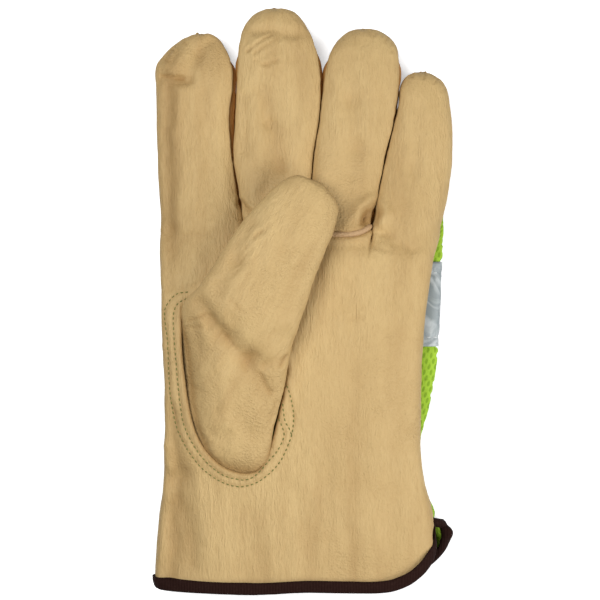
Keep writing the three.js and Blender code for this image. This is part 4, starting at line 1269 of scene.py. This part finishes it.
def tanned_leather(name, base, deep, turn=0.0, pebbled=0.52):
    """Cowhide with its own grain, drum-tanned and lightly finished: fine creases along the hide,
    soft patches of tone, a dull satin sheen, and painted shade where the points are marked as
    shaded.
    Where the patches are above the value of pebbled, the hide has pebbles in place of creases."""
    material, tree = new_material(name)
    place = add_node(tree, "TexCoord").outputs["Object"]
    turned = add_node(tree, "Mapping", {"Vector": place, "Rotation": (0, 0, turn)})
    # The hide's fine creases are about 1.6 mm apart and 10 mm long. Where it has pebbles instead,
    # they are about 0.9 mm wide. Both are bent a little by wrinkles 4 mm apart.
    bend = add_node(
        tree, "TexNoise", {"Vector": turned, "Scale": 240, "Detail": 2, "Roughness": 0.5})
    off = add_node(
        tree, "VectorMath", {0: bend.outputs["Color"], 1: (0.5, 0.5, 0.5)}, operation="SUBTRACT")
    far = add_node(tree, "VectorMath", {0: off, "Scale": 1.6 * MM}, operation="SCALE")
    bent = add_node(tree, "VectorMath", {0: turned, 1: far}, operation="ADD")
    along = add_node(tree, "Mapping", {"Vector": bent, "Scale": (1, 0.15, 0.7)})
    creases = add_node(
        tree, "TexNoise", {"Vector": along, "Scale": 1250, "Detail": 3, "Roughness": 0.6})
    pebbles = add_node(
        tree, "TexNoise",
        {"Vector": bent, "Scale": 1100, "Detail": 2, "Roughness": 0.5, "Distortion": 0.3})
    # Pebbled patches are about 40 mm across. Streaks of tone are about 12 mm wide and 80 mm long.
    patch = add_node(
        tree, "TexNoise", {"Vector": turned, "Scale": 24, "Detail": 4, "Roughness": 0.55})
    streak = add_node(
        tree, "TexNoise", {"Vector": along, "Scale": 85, "Detail": 4, "Roughness": 0.65})
    # The point attribute is painted shade in folds, creases and hollows and beside seams, and an
    # even tone on the strips and the welt.
    shade_and_tone_share = add_node(tree, "Attribute", attribute_name="deep").outputs["Fac"]
    where = add_node(tree, "MapRange", {0: patch, 1: pebbled, 2: pebbled + 0.14})
    grain = add_node(tree, "Mix", {0: where, 2: creases, 3: pebbles})
    colour = layered(
        tree, base, (patch, 0.35, 0.7, 0.2, deep), (grain, 0.55, 0.36, 0.1, deep),
        (streak, 0.45, 0.72, 0.3, deep), (shade_and_tone_share, 0, 1, 0.6, deep))
    dull = add_node(tree, "MapRange", {0: grain, 1: 0.3, 2: 0.7, 3: 0.68, 4: 0.54})
    bump = add_node(tree, "Bump", {"Height": grain, "Strength": 1, "Distance": 0.62 * MM})
    shader = add_node(
        tree, "BsdfPrincipled",
        {"Base Color": colour, "Roughness": dull, "Normal": bump, "Specular IOR Level": 0.3})
    add_node(tree, "OutputMaterial", {"Surface": shader})
    return material


def knitted_mesh(name, colours):
    """Warp-knitted polyester with a foam backing: bright loops round staggered oval dimples, in
    which the darker backing shows, with no shine."""
    material, tree = new_material(name)
    knit = add_node(tree, "UVMap", uv_map="Knit")
    wide = (1 / DIMPLE_SIZE[0], 1 / DIMPLE_SIZE[1], 0)
    far = []
    for shift in (0, 0.5):
        moved = add_node(tree, "VectorMath", {0: knit, 1: (shift, shift, 0)}, operation="ADD")
        cell = add_node(tree, "VectorMath", {0: moved}, operation="FRACTION")
        centred = add_node(tree, "VectorMath", {0: cell, 1: (0.5, 0.5, 0)}, operation="SUBTRACT")
        oval = add_node(tree, "VectorMath", {0: centred, 1: wide}, operation="MULTIPLY")
        far.append(add_node(tree, "VectorMath", {0: oval}, operation="LENGTH").outputs["Value"])
    nearest = add_node(tree, "Math", {0: far[0], 1: far[1]}, operation="MINIMUM")
    hole = add_node(tree, "MapRange", {0: nearest, 1: 1.05, 2: 0.7})
    place = add_node(tree, "TexCoord").outputs["Object"]
    # The knit's loops are about 0.7 mm wide, and its tone changes over about 16 mm.
    loops = add_node(tree, "TexVoronoi", {"Vector": place, "Scale": 1400}).outputs["Distance"]
    tone = add_node(tree, "TexNoise", {"Vector": place, "Scale": 60, "Detail": 3})
    dark = linear(colours.mesh_hole)
    colour = layered(
        tree, linear(colours.mesh), (loops, 0, 1, 0.35, dark), (tone, 0.4, 0.75, 0.15, dark),
        (hole, 0, 1, 1, dark))
    bump = add_node(
        tree, "Bump", {"Height": loops, "Strength": 0.6, "Distance": 0.25 * MM}, invert=True)
    shader = add_node(
        tree, "BsdfPrincipled",
        {"Base Color": colour, "Roughness": 0.8, "Normal": bump, "Specular IOR Level": 0.2})
    add_node(tree, "OutputMaterial", {"Surface": shader})
    return material


def beaded_tape(name, colours):
    """Cloth tape coated with glass beads: an even silver grey with painted highlights in patches
    where the coating is creased."""
    material, tree = new_material(name)
    place = add_node(tree, "TexCoord").outputs["Object"]
    # Creases are about 9 mm apart. The beads are drawn 0.4 mm wide, far coarser than they are, so
    # that they show.
    creases = add_node(
        tree, "TexNoise",
        {"Vector": place, "Scale": 110, "Detail": 4, "Roughness": 0.55, "Distortion": 0.8})
    beads = add_node(tree, "TexNoise", {"Vector": place, "Scale": 2600, "Detail": 1})
    # The lighter colour of the creased patches is painted highlight.
    colour = layered(
        tree, linear(colours.tape), (creases, 0.42, 0.62, 1, linear(colours.tape_painted_glint)))
    crumpled = add_node(tree, "Bump", {"Height": creases, "Strength": 0.5, "Distance": 0.6 * MM})
    beaded = add_node(
        tree, "Bump", {"Height": beads, "Strength": 0.2, "Distance": 0.06 * MM, "Normal": crumpled})
    shader = add_node(
        tree, "BsdfPrincipled",
        {"Base Color": colour, "Roughness": 0.38, "Normal": beaded})
    add_node(tree, "OutputMaterial", {"Surface": shader})
    return material


def woven_binding(name, colours):
    """Narrow polyester tape in a plain weave: almost black brown, with fine ribs across it."""
    material, tree = new_material(name)
    place = add_node(tree, "TexCoord").outputs["Object"]
    # The ribs are drawn about 1.2 mm apart, twice as coarse as they are, so that they show.
    ribs = add_node(
        tree, "TexWave", {"Vector": place, "Scale": 262.74, "Distortion": 0.6, "Detail": 1},
        bands_direction="X").outputs["Fac"]
    fluff = add_node(tree, "TexNoise", {"Vector": place, "Scale": 900, "Detail": 2})
    colour = layered(
        tree, linear(colours.binding), (ribs, 0, 1, 0.3, linear(BINDING_LIT)),
        (fluff, 0.5, 0.8, 0.3, linear(BINDING_FADED)))
    bump = add_node(tree, "Bump", {"Height": ribs, "Strength": 0.6, "Distance": 0.2 * MM})
    shader = add_node(
        tree, "BsdfPrincipled",
        {"Base Color": colour, "Roughness": 0.9, "Normal": bump, "Specular IOR Level": 0.12})
    add_node(tree, "OutputMaterial", {"Surface": shader})
    return material


def spun_thread(name, colour):
    """Spun polyester thread: matt, with a slight change of tone from ply to ply."""
    material, tree = new_material(name)
    place = add_node(tree, "TexCoord").outputs["Object"]
    # The tone changes over about 0.7 mm.
    plies = add_node(tree, "TexNoise", {"Vector": place, "Scale": 1500, "Detail": 1})
    dark, light = ([*(part * share for part in linear(colour)[:3]), 1] for share in (0.6, 1.3))
    shaded = add_node(tree, "Mix", {0: plies, 6: dark, 7: light}, data_type="RGBA")
    shader = add_node(tree, "BsdfPrincipled", {"Base Color": shaded, "Roughness": 0.7})
    add_node(tree, "OutputMaterial", {"Surface": shader})
    return material


def material_for(make, name, *values):
    """The material of a name, which is made once."""
    return bpy.data.materials.get(name) or make(name, *values)


def grain_leather(colours, name="Grain cowhide", turn=0.0, pebbled=0.52):
    tones = linear(colours.leather), linear(colours.leather_tone_and_shade)
    return material_for(tanned_leather, name, *tones, turn, pebbled)


class GLOVE_OT_thumb(bpy.types.Operator):
    """Leather thumb that rises out of the palm"""

    bl_idname = "glove.thumb"
    bl_label = "Thumb"

    def execute(self, context):
        sizes = context.scene.glove_sizes
        thumb = sheet_from("Thumb_leather", [thumb_grid(sizes.mesh_step / MM)])
        edit(thumb, lambda: bpy.ops.mesh.normals_make_consistent(inside=False))
        points, normals = coordinates(thumb), directions(thumb)
        facing = np.maximum(normals[:, 2], 0)
        seed = 31
        x, y = wandering(points, seed)
        fold = dents(x, y, THUMB_FOLDS) * facing
        sharply = creased(x, y, THUMB_CREASES) * facing
        floor = palm_height(points[:, 0], points[:, 1])
        rooted = 1 - smooth(points[:, 1], -6, 2)
        sunk = bell(points[:, 2] - floor, 1.8) * rooted
        soft = ripple(points, (10, 14, 12), seed) + 0.7 * ripple(points, (3.6, 7, 6), seed + 1)
        height = sizes.wrinkle_height / MM
        pebbly = smooth(-points[:, 0], 18, 34) * smooth(-points[:, 1], 0, 14)
        fine = ripple(points, (1.7, 2.4, 3), seed + 2) * (0.15 + 0.25 * pebbly)
        depth = height * (0.6 * soft + fine) - fold - sharply - 0.5 * sunk
        place_points(thumb, points + normals * depth[:, None])
        # Painted shade in the thumb's folds and creases and where it sinks into the palm.
        deep = 0.25 * fold + np.clip(sharply, 0, 0.8) + 0.8 * sunk
        remember(thumb, "deep", np.clip(deep, 0, 1))
        remove_faces(
            thumb, lambda x, y, z: (z < palm_height(x, y) - THUMB_SUNK) & (y < THUMB_FREE_Y))
        walled(thumb, LEATHER)
        hide = grain_leather(
            context.scene.glove_colours, "Grain cowhide, thumb", THUMB_GRAIN_TURN, pebbled=0.4)
        finish_piece(thumb, hide, "grain_leather", "thumb")
        return {"FINISHED"}


class GLOVE_OT_palm(bpy.types.Operator):
    """Palm leather with the fronts of the first and the little finger"""

    bl_idname = "glove.palm"
    bl_label = "Palm"

    def execute(self, context):
        sizes = context.scene.glove_sizes
        pitch = sizes.stitch_pitch / MM
        outer, inner = eased(THUMB_STITCHES_OUTER, 4), eased(THUMB_STITCHES_INNER, 4)
        opening = eased(THUMB_OPENING + THUMB_OPENING[:1], 6)
        shown = eased(THUMB_OPENING[:OPENING_SHOWN], 6)

        def round_thumb(points):
            """The palm stands up a little round the thumb and is drawn in along the stitches, with
            painted shade along the stitches and along the opening's edge.
            """
            x, y = points[:, 0], points[:, 1]
            away = path_distance(x, y, shown)[0]
            (far, run), (near, _) = (path_distance(x, y, row) for row in (outer, inner))
            sewn = bell(far, 0.75) + bell(near, 0.75)
            between = np.exp(-(((far + near) / 5) ** 4))
            raised = between * (0.5 + 0.15 * np.sin(np.pi * run / pitch))
            lip = 0.8 * bell(away, 2.8) - 0.35 * bell(away, 0.5)
            # The second value is painted shade.
            return raised + lip - 0.6 * sewn, 0.3 * sewn + 0.5 * bell(away, 0.6)

        palm = sheet_from("Palm_leather", palm_grids(sizes.mesh_step / MM))
        remove_faces(palm, lambda x, y, z: within(x, y, opening) & (z > OPENING_LEVEL))
        points = coordinates(palm)
        rim = open_points(palm)
        far, _ = path_distance(points[rim, 0], points[rim, 1], opening)
        rim = rim[(far < 1.6) & (points[rim, 2] > OPENING_LEVEL)]
        points[rim, :2] = nearest_on(points[rim, 0], points[rim, 1], opening)
        points[rim, 2] = palm_height(points[rim, 0], points[rim, 1])
        place_points(palm, points)
        far, _ = path_distance(points[:, 0], points[:, 1], opening)
        at_rim = (far < 1.8) & (points[:, 2] > OPENING_LEVEL)
        edit(palm, lambda: bpy.ops.mesh.remove_doubles(threshold=0.2 * MM), at_rim)
        plain = leather_relief(palm, FOLDS, CREASES, sizes, seed=11, extra=round_thumb)
        laid["palm"] = SimpleNamespace(
            plain=plain, points=coordinates(palm), normals=directions(palm))
        walled(palm, LEATHER)
        hide = grain_leather(context.scene.glove_colours)
        finish_piece(palm, hide, "grain_leather", "palm")
        return {"FINISHED"}


class GLOVE_OT_finger_fronts(bpy.types.Operator):
    """Leather fronts of the two middle fingers"""

    bl_idname = "glove.finger_fronts"
    bl_label = "Finger fronts"

    def execute(self, context):
        sizes = context.scene.glove_sizes
        hide = grain_leather(context.scene.glove_colours)
        for seed, name in ((41, "middle"), (51, "ring")):
            grid = front_grid(name, sizes.mesh_step / MM)
            front = sheet_from(f"{name.title()}_finger_front", [grid])
            leather_relief(front, FOLDS, CREASES, sizes, seed)
            walled(front, LEATHER)
            finish_piece(front, hide, "grain_leather", f"{name}_finger_front")
        return {"FINISHED"}


class GLOVE_OT_finger_backs(bpy.types.Operator):
    """Leather backs of the four fingers"""

    bl_idname = "glove.finger_backs"
    bl_label = "Finger backs"

    def execute(self, context):
        sizes = context.scene.glove_sizes
        hide = grain_leather(context.scene.glove_colours)
        for seed, name in enumerate(FINGERS, 61):
            grid = finger_back_grid(name, HIDDEN_STEP * sizes.mesh_step / MM)
            back = sheet_from(f"{name.title()}_finger_back", [grid])
            leather_relief(back, {}, {}, sizes, seed)
            points = coordinates(back)
            points[:, 2] = np.maximum(points[:, 2], 0)
            place_points(back, points)
            walled(back, LEATHER)
            finish_piece(back, hide, "grain_leather", f"{name}_finger_back")
        return {"FINISHED"}


class GLOVE_OT_side_strips(bpy.types.Operator):
    """Side strips between the fingers, and the welt at the finger bases"""

    bl_idname = "glove.side_strips"
    bl_label = "Side strips and welt"

    def execute(self, context):
        sizes = context.scene.glove_sizes
        colours = context.scene.glove_colours
        leather = material_for(
            tanned_leather, "Strip cowhide", linear(colours.strip), linear(STRIP_DEEP))
        names = list(FINGERS)
        for left, right in zip(names[:-1], names[1:]):
            grid = strip_grid(left, right, HIDDEN_STEP * sizes.mesh_step / MM)
            strip = sheet_from(f"{left.title()}_{right}_strip", [grid])
            remember(strip, "deep", np.full(len(strip.data.vertices), 0.3))
            walled(strip, LEATHER)
            finish_piece(strip, leather, "strip_leather", f"{left}_{right}_fourchette")
        welt = sheet_from("Finger_base_welt", [cord_grid(welt_path() + (0, 0, 0.1), 1.15, 0.95)])
        remember(welt, "deep", np.full(len(welt.data.vertices), 0.1))
        split = material_for(
            tanned_leather, "Split cowhide", linear(colours.welt), linear(WELT_DEEP))
        finish_piece(welt, split, "welt_leather", "finger_base_welt")
        return {"FINISHED"}


class GLOVE_OT_back(bpy.types.Operator):
    """Knitted mesh of the back with its reflective band"""

    bl_idname = "glove.back"
    bl_label = "Mesh back and band"

    def execute(self, context):
        sizes = context.scene.glove_sizes
        colours = context.scene.glove_colours
        grid = back_grid(BACK_STEP)
        back = sheet_from("Mesh_back", [grid])
        plain, normals = coordinates(back), directions(back)
        index_of = nearest_points(plain, grid.reshape(-1, 3))
        # The knit's pattern runs across the back from its middle line.
        run = np.array([run_along(row) for row in grid])
        run -= run[:, grid.shape[1] // 2][:, None]
        pitch = sizes.dimple_pitch / MM
        knit = np.zeros((len(plain), 2))
        knit[index_of] = np.stack(
            [run / pitch, grid[..., 1] / (DIMPLE_LONG * pitch)], -1).reshape(-1, 2)
        y = plain[:, 1]
        under_band = smooth(y, BAND_BOTTOM - 1.2, BAND_BOTTOM)
        under_band *= 1 - smooth(y, BAND_TOP, BAND_TOP + 1.2)
        hem = np.zeros(len(plain))
        hem[index_of] = np.repeat(np.arange(grid.shape[0]) <= LEG_ROWS, grid.shape[1])
        dimple = staggered(*knit.T) * sizes.dimple_depth / MM
        depth = -dimple * (1 - under_band) - (TAPE + GAP) * under_band
        depth -= hem * (BINDING + BINDING_GAP)
        placed = plain + normals * depth[:, None]
        place_points(back, placed)
        layer = back.data.uv_layers.new(name="Knit")
        layer.data.foreach_set("uv", knit[read(back.data.loops, "vertex_index")].ravel())
        laid["back"] = SimpleNamespace(plain=plain, points=placed.copy(), normals=normals)
        # At the vent's corner the mesh is drawn in under its binding.
        corner = bell(np.hypot(placed[:, 0] - 60.5, placed[:, 1] + 95.8), 4.2)
        placed[:, 0] -= 3.8 * corner
        placed[:, 1] += 0.8 * corner
        place_points(back, placed)
        walled(back, MESH)
        mesh = material_for(knitted_mesh, "Knitted polyester mesh", colours)
        finish_piece(back, mesh, "green_mesh", "back_panel")

        grid = back_grid(BAND_STEP)
        middle = grid[:, grid.shape[1] // 2, 1]
        first, last = (int(np.argmin(np.abs(middle - y))) for y in (BAND_BOTTOM, BAND_TOP))
        band = sheet_from("Reflective_band", [grid[first:last + 1]])
        points, normals = coordinates(band), directions(band)
        crumple = 0.35 * np.abs(ripple(points, (7, 6, 8), 71)) + 0.2 * ripple(points, (3, 3, 4), 72)
        sewn = sum(bell(points[:, 1] - seam, 0.8) for seam in BAND_SEAMS)
        place_points(band, points + normals * (0.25 - crumple - 0.4 * sewn)[:, None])
        walled(band, TAPE)
        tape = material_for(beaded_tape, "Glass-beaded reflective tape", colours)
        finish_piece(band, tape, "reflective_tape", "reflective_band")
        return {"FINISHED"}


class GLOVE_OT_binding(bpy.types.Operator):
    """Folded woven binding round the cuff and its side vent"""

    bl_idname = "glove.binding"
    bl_label = "Cuff binding"

    def execute(self, context):
        if "palm" not in laid or "back" not in laid:
            raise RuntimeError("Make the palm and the back first")
        sizes = context.scene.glove_sizes
        # Beside the vent the legs of the binding are short.
        palm = hem_stations(
            laid["palm"], palm_grids(sizes.mesh_step / MM)[0], LEATHER,
            lambda near: smooth(near[:, 0], 46, 52) * smooth(near[:, 1], -110, -101), 1)
        back = hem_stations(
            laid["back"], back_grid(BACK_STEP), MESH,
            lambda near: smooth(near[:, 0], 50, 56) * smooth(near[:, 1], -114, -107), 0)
        ring = evened_ring(np.concatenate([palm, back]), 0.9, 4)
        # Beside the vent the binding stands out a little.
        ring[..., 0] += 0.5 * bell(ring[..., 1] + 101, 7) * smooth(ring[..., 0], 56, 60)
        binding = sheet_from("Cuff_binding", [np.concatenate([ring, ring[:1]]).transpose(1, 0, 2)])
        walled(binding, BINDING)
        woven = material_for(woven_binding, "Woven binding tape", context.scene.glove_colours)
        finish_piece(binding, woven, "brown_binding", "cuff_binding")
        laid["binding"] = ring
        return {"FINISHED"}


class GLOVE_OT_stitching(bpy.types.Operator):
    """Rows of stitches round the thumb, on the band and on the binding"""

    bl_idname = "glove.stitching"
    bl_label = "Stitching"

    def execute(self, context):
        sizes = context.scene.glove_sizes
        colours = context.scene.glove_colours
        palm, band = (bpy.data.objects[name] for name in ("Palm_leather", "Reflective_band"))
        rows = [
            on_surface(resampled(eased(path), np.linspace(0, 1, 160)), palm)
            for path in (THUMB_STITCHES_OUTER, THUMB_STITCHES_INNER, THUMB_STITCHES_CROSS)
        ]
        olive = material_for(spun_thread, "Olive sewing thread", colours.thread)
        stitched("Thumb_stitches", rows, sizes, olive, "grain_leather")
        rows = []
        for y in BAND_SEAMS:
            below = [(x, y) for x in np.linspace(-58, 56.5, 120)]
            above = [(x, y) for x in np.linspace(52, 57.4, 12)]
            rows += [on_surface(below, band, down=False), on_surface(above, band)]
        grey = material_for(spun_thread, "Grey sewing thread", BAND_THREAD)
        stitched("Band_stitches", rows, sizes, grey, "reflective_tape")
        edge = lerp(laid["binding"][:, 0], laid["binding"][:, 1], 0.35)
        dark = material_for(spun_thread, "Brown sewing thread", BINDING_THREAD)
        stitched("Binding_stitches", [edge], sizes, dark, "brown_binding", 0.3)
        return {"FINISHED"}


class GLOVE_OT_stage(bpy.types.Operator):
    """Pale floor, soft studio light and a camera straight above"""

    bl_idname = "glove.stage"
    bl_label = "Stage"

    def execute(self, context):
        stage = context.scene.glove_stage
        bpy.ops.mesh.primitive_plane_add(size=6, location=(0, 0, -1.1 * MM))
        floor = context.object
        floor.name = "Floor"
        material, tree = new_material("Matt white paper")
        white = linear(PAPER)
        shader = add_node(
            tree, "BsdfPrincipled",
            {"Base Color": white, "Roughness": 0.9, "Specular IOR Level": 0.1,
             "Emission Color": white, "Emission Strength": 0.5})
        add_node(tree, "OutputMaterial", {"Surface": shader})
        floor.data.materials.append(material)
        floor.visible_diffuse = False

        for name, place, size, power in (
            ("Key light", (0.56, -0.2, 0.46), 0.6, stage.key_power),
            ("Fill light", (-0.3, 0.17, 0.66), 0.5, stage.fill_power),
        ):
            bpy.ops.object.light_add(type="AREA", location=place)
            light = context.object
            light.name = name
            light.data.size = size
            light.data.energy = power
            light.rotation_euler = (-Vector(place)).to_track_quat("-Z", "Y").to_euler()

        world = bpy.data.worlds.new("Soft studio")
        context.scene.world = world
        world.use_nodes = True
        background = world.node_tree.nodes["Background"]
        background.inputs["Color"].default_value = (1, 1, 1, 1)
        background.inputs["Strength"].default_value = stage.sky

        height = stage.view_width * stage.focal_length / SENSOR + VIEW_LEVEL * MM
        bpy.ops.object.camera_add(location=(-1.7 * MM, -0.2 * MM, height), rotation=(0, 0, 0))
        camera = context.object
        camera.data.sensor_width = SENSOR
        camera.data.lens = stage.focal_length
        camera.data.clip_end = 10
        context.scene.camera = camera
        context.scene.view_settings.view_transform = "Standard"
        return {"FINISHED"}


STEPS = (
    "thumb", "palm", "finger_fronts", "finger_backs", "side_strips", "back", "binding", "stitching",
    "stage",
)


class GLOVE_PT_panel(bpy.types.Panel):
    """Sizes, colours and steps of the glove"""

    bl_idname = "GLOVE_PT_panel"
    bl_label = "Leather glove"
    bl_space_type = "VIEW_3D"
    bl_region_type = "UI"
    bl_category = "Glove"

    def draw(self, context):
        scene = context.scene
        for group in (scene.glove_sizes, scene.glove_colours, scene.glove_stage):
            box = self.layout.box()
            for name in group.bl_rna.properties.keys():
                if name not in ("rna_type", "name"):
                    box.prop(group, name)
        for step in STEPS:
            self.layout.operator(f"glove.{step}")


CLASSES = (
    GloveSizes, GloveColours, GloveStage, GLOVE_OT_thumb, GLOVE_OT_palm, GLOVE_OT_finger_fronts,
    GLOVE_OT_finger_backs, GLOVE_OT_side_strips, GLOVE_OT_back, GLOVE_OT_binding,
    GLOVE_OT_stitching, GLOVE_OT_stage, GLOVE_PT_panel,
)


def register():
    for item in CLASSES:
        bpy.utils.register_class(item)
    bpy.types.Scene.glove_sizes = PointerProperty(type=GloveSizes)
    bpy.types.Scene.glove_colours = PointerProperty(type=GloveColours)
    bpy.types.Scene.glove_stage = PointerProperty(type=GloveStage)


def unregister():
    del bpy.types.Scene.glove_sizes
    del bpy.types.Scene.glove_colours
    del bpy.types.Scene.glove_stage
    for item in reversed(CLASSES):
        bpy.utils.unregister_class(item)


def main():
    register()
    for step in STEPS:
        getattr(bpy.ops.glove, step)()


if __name__ == "__main__":
    main()
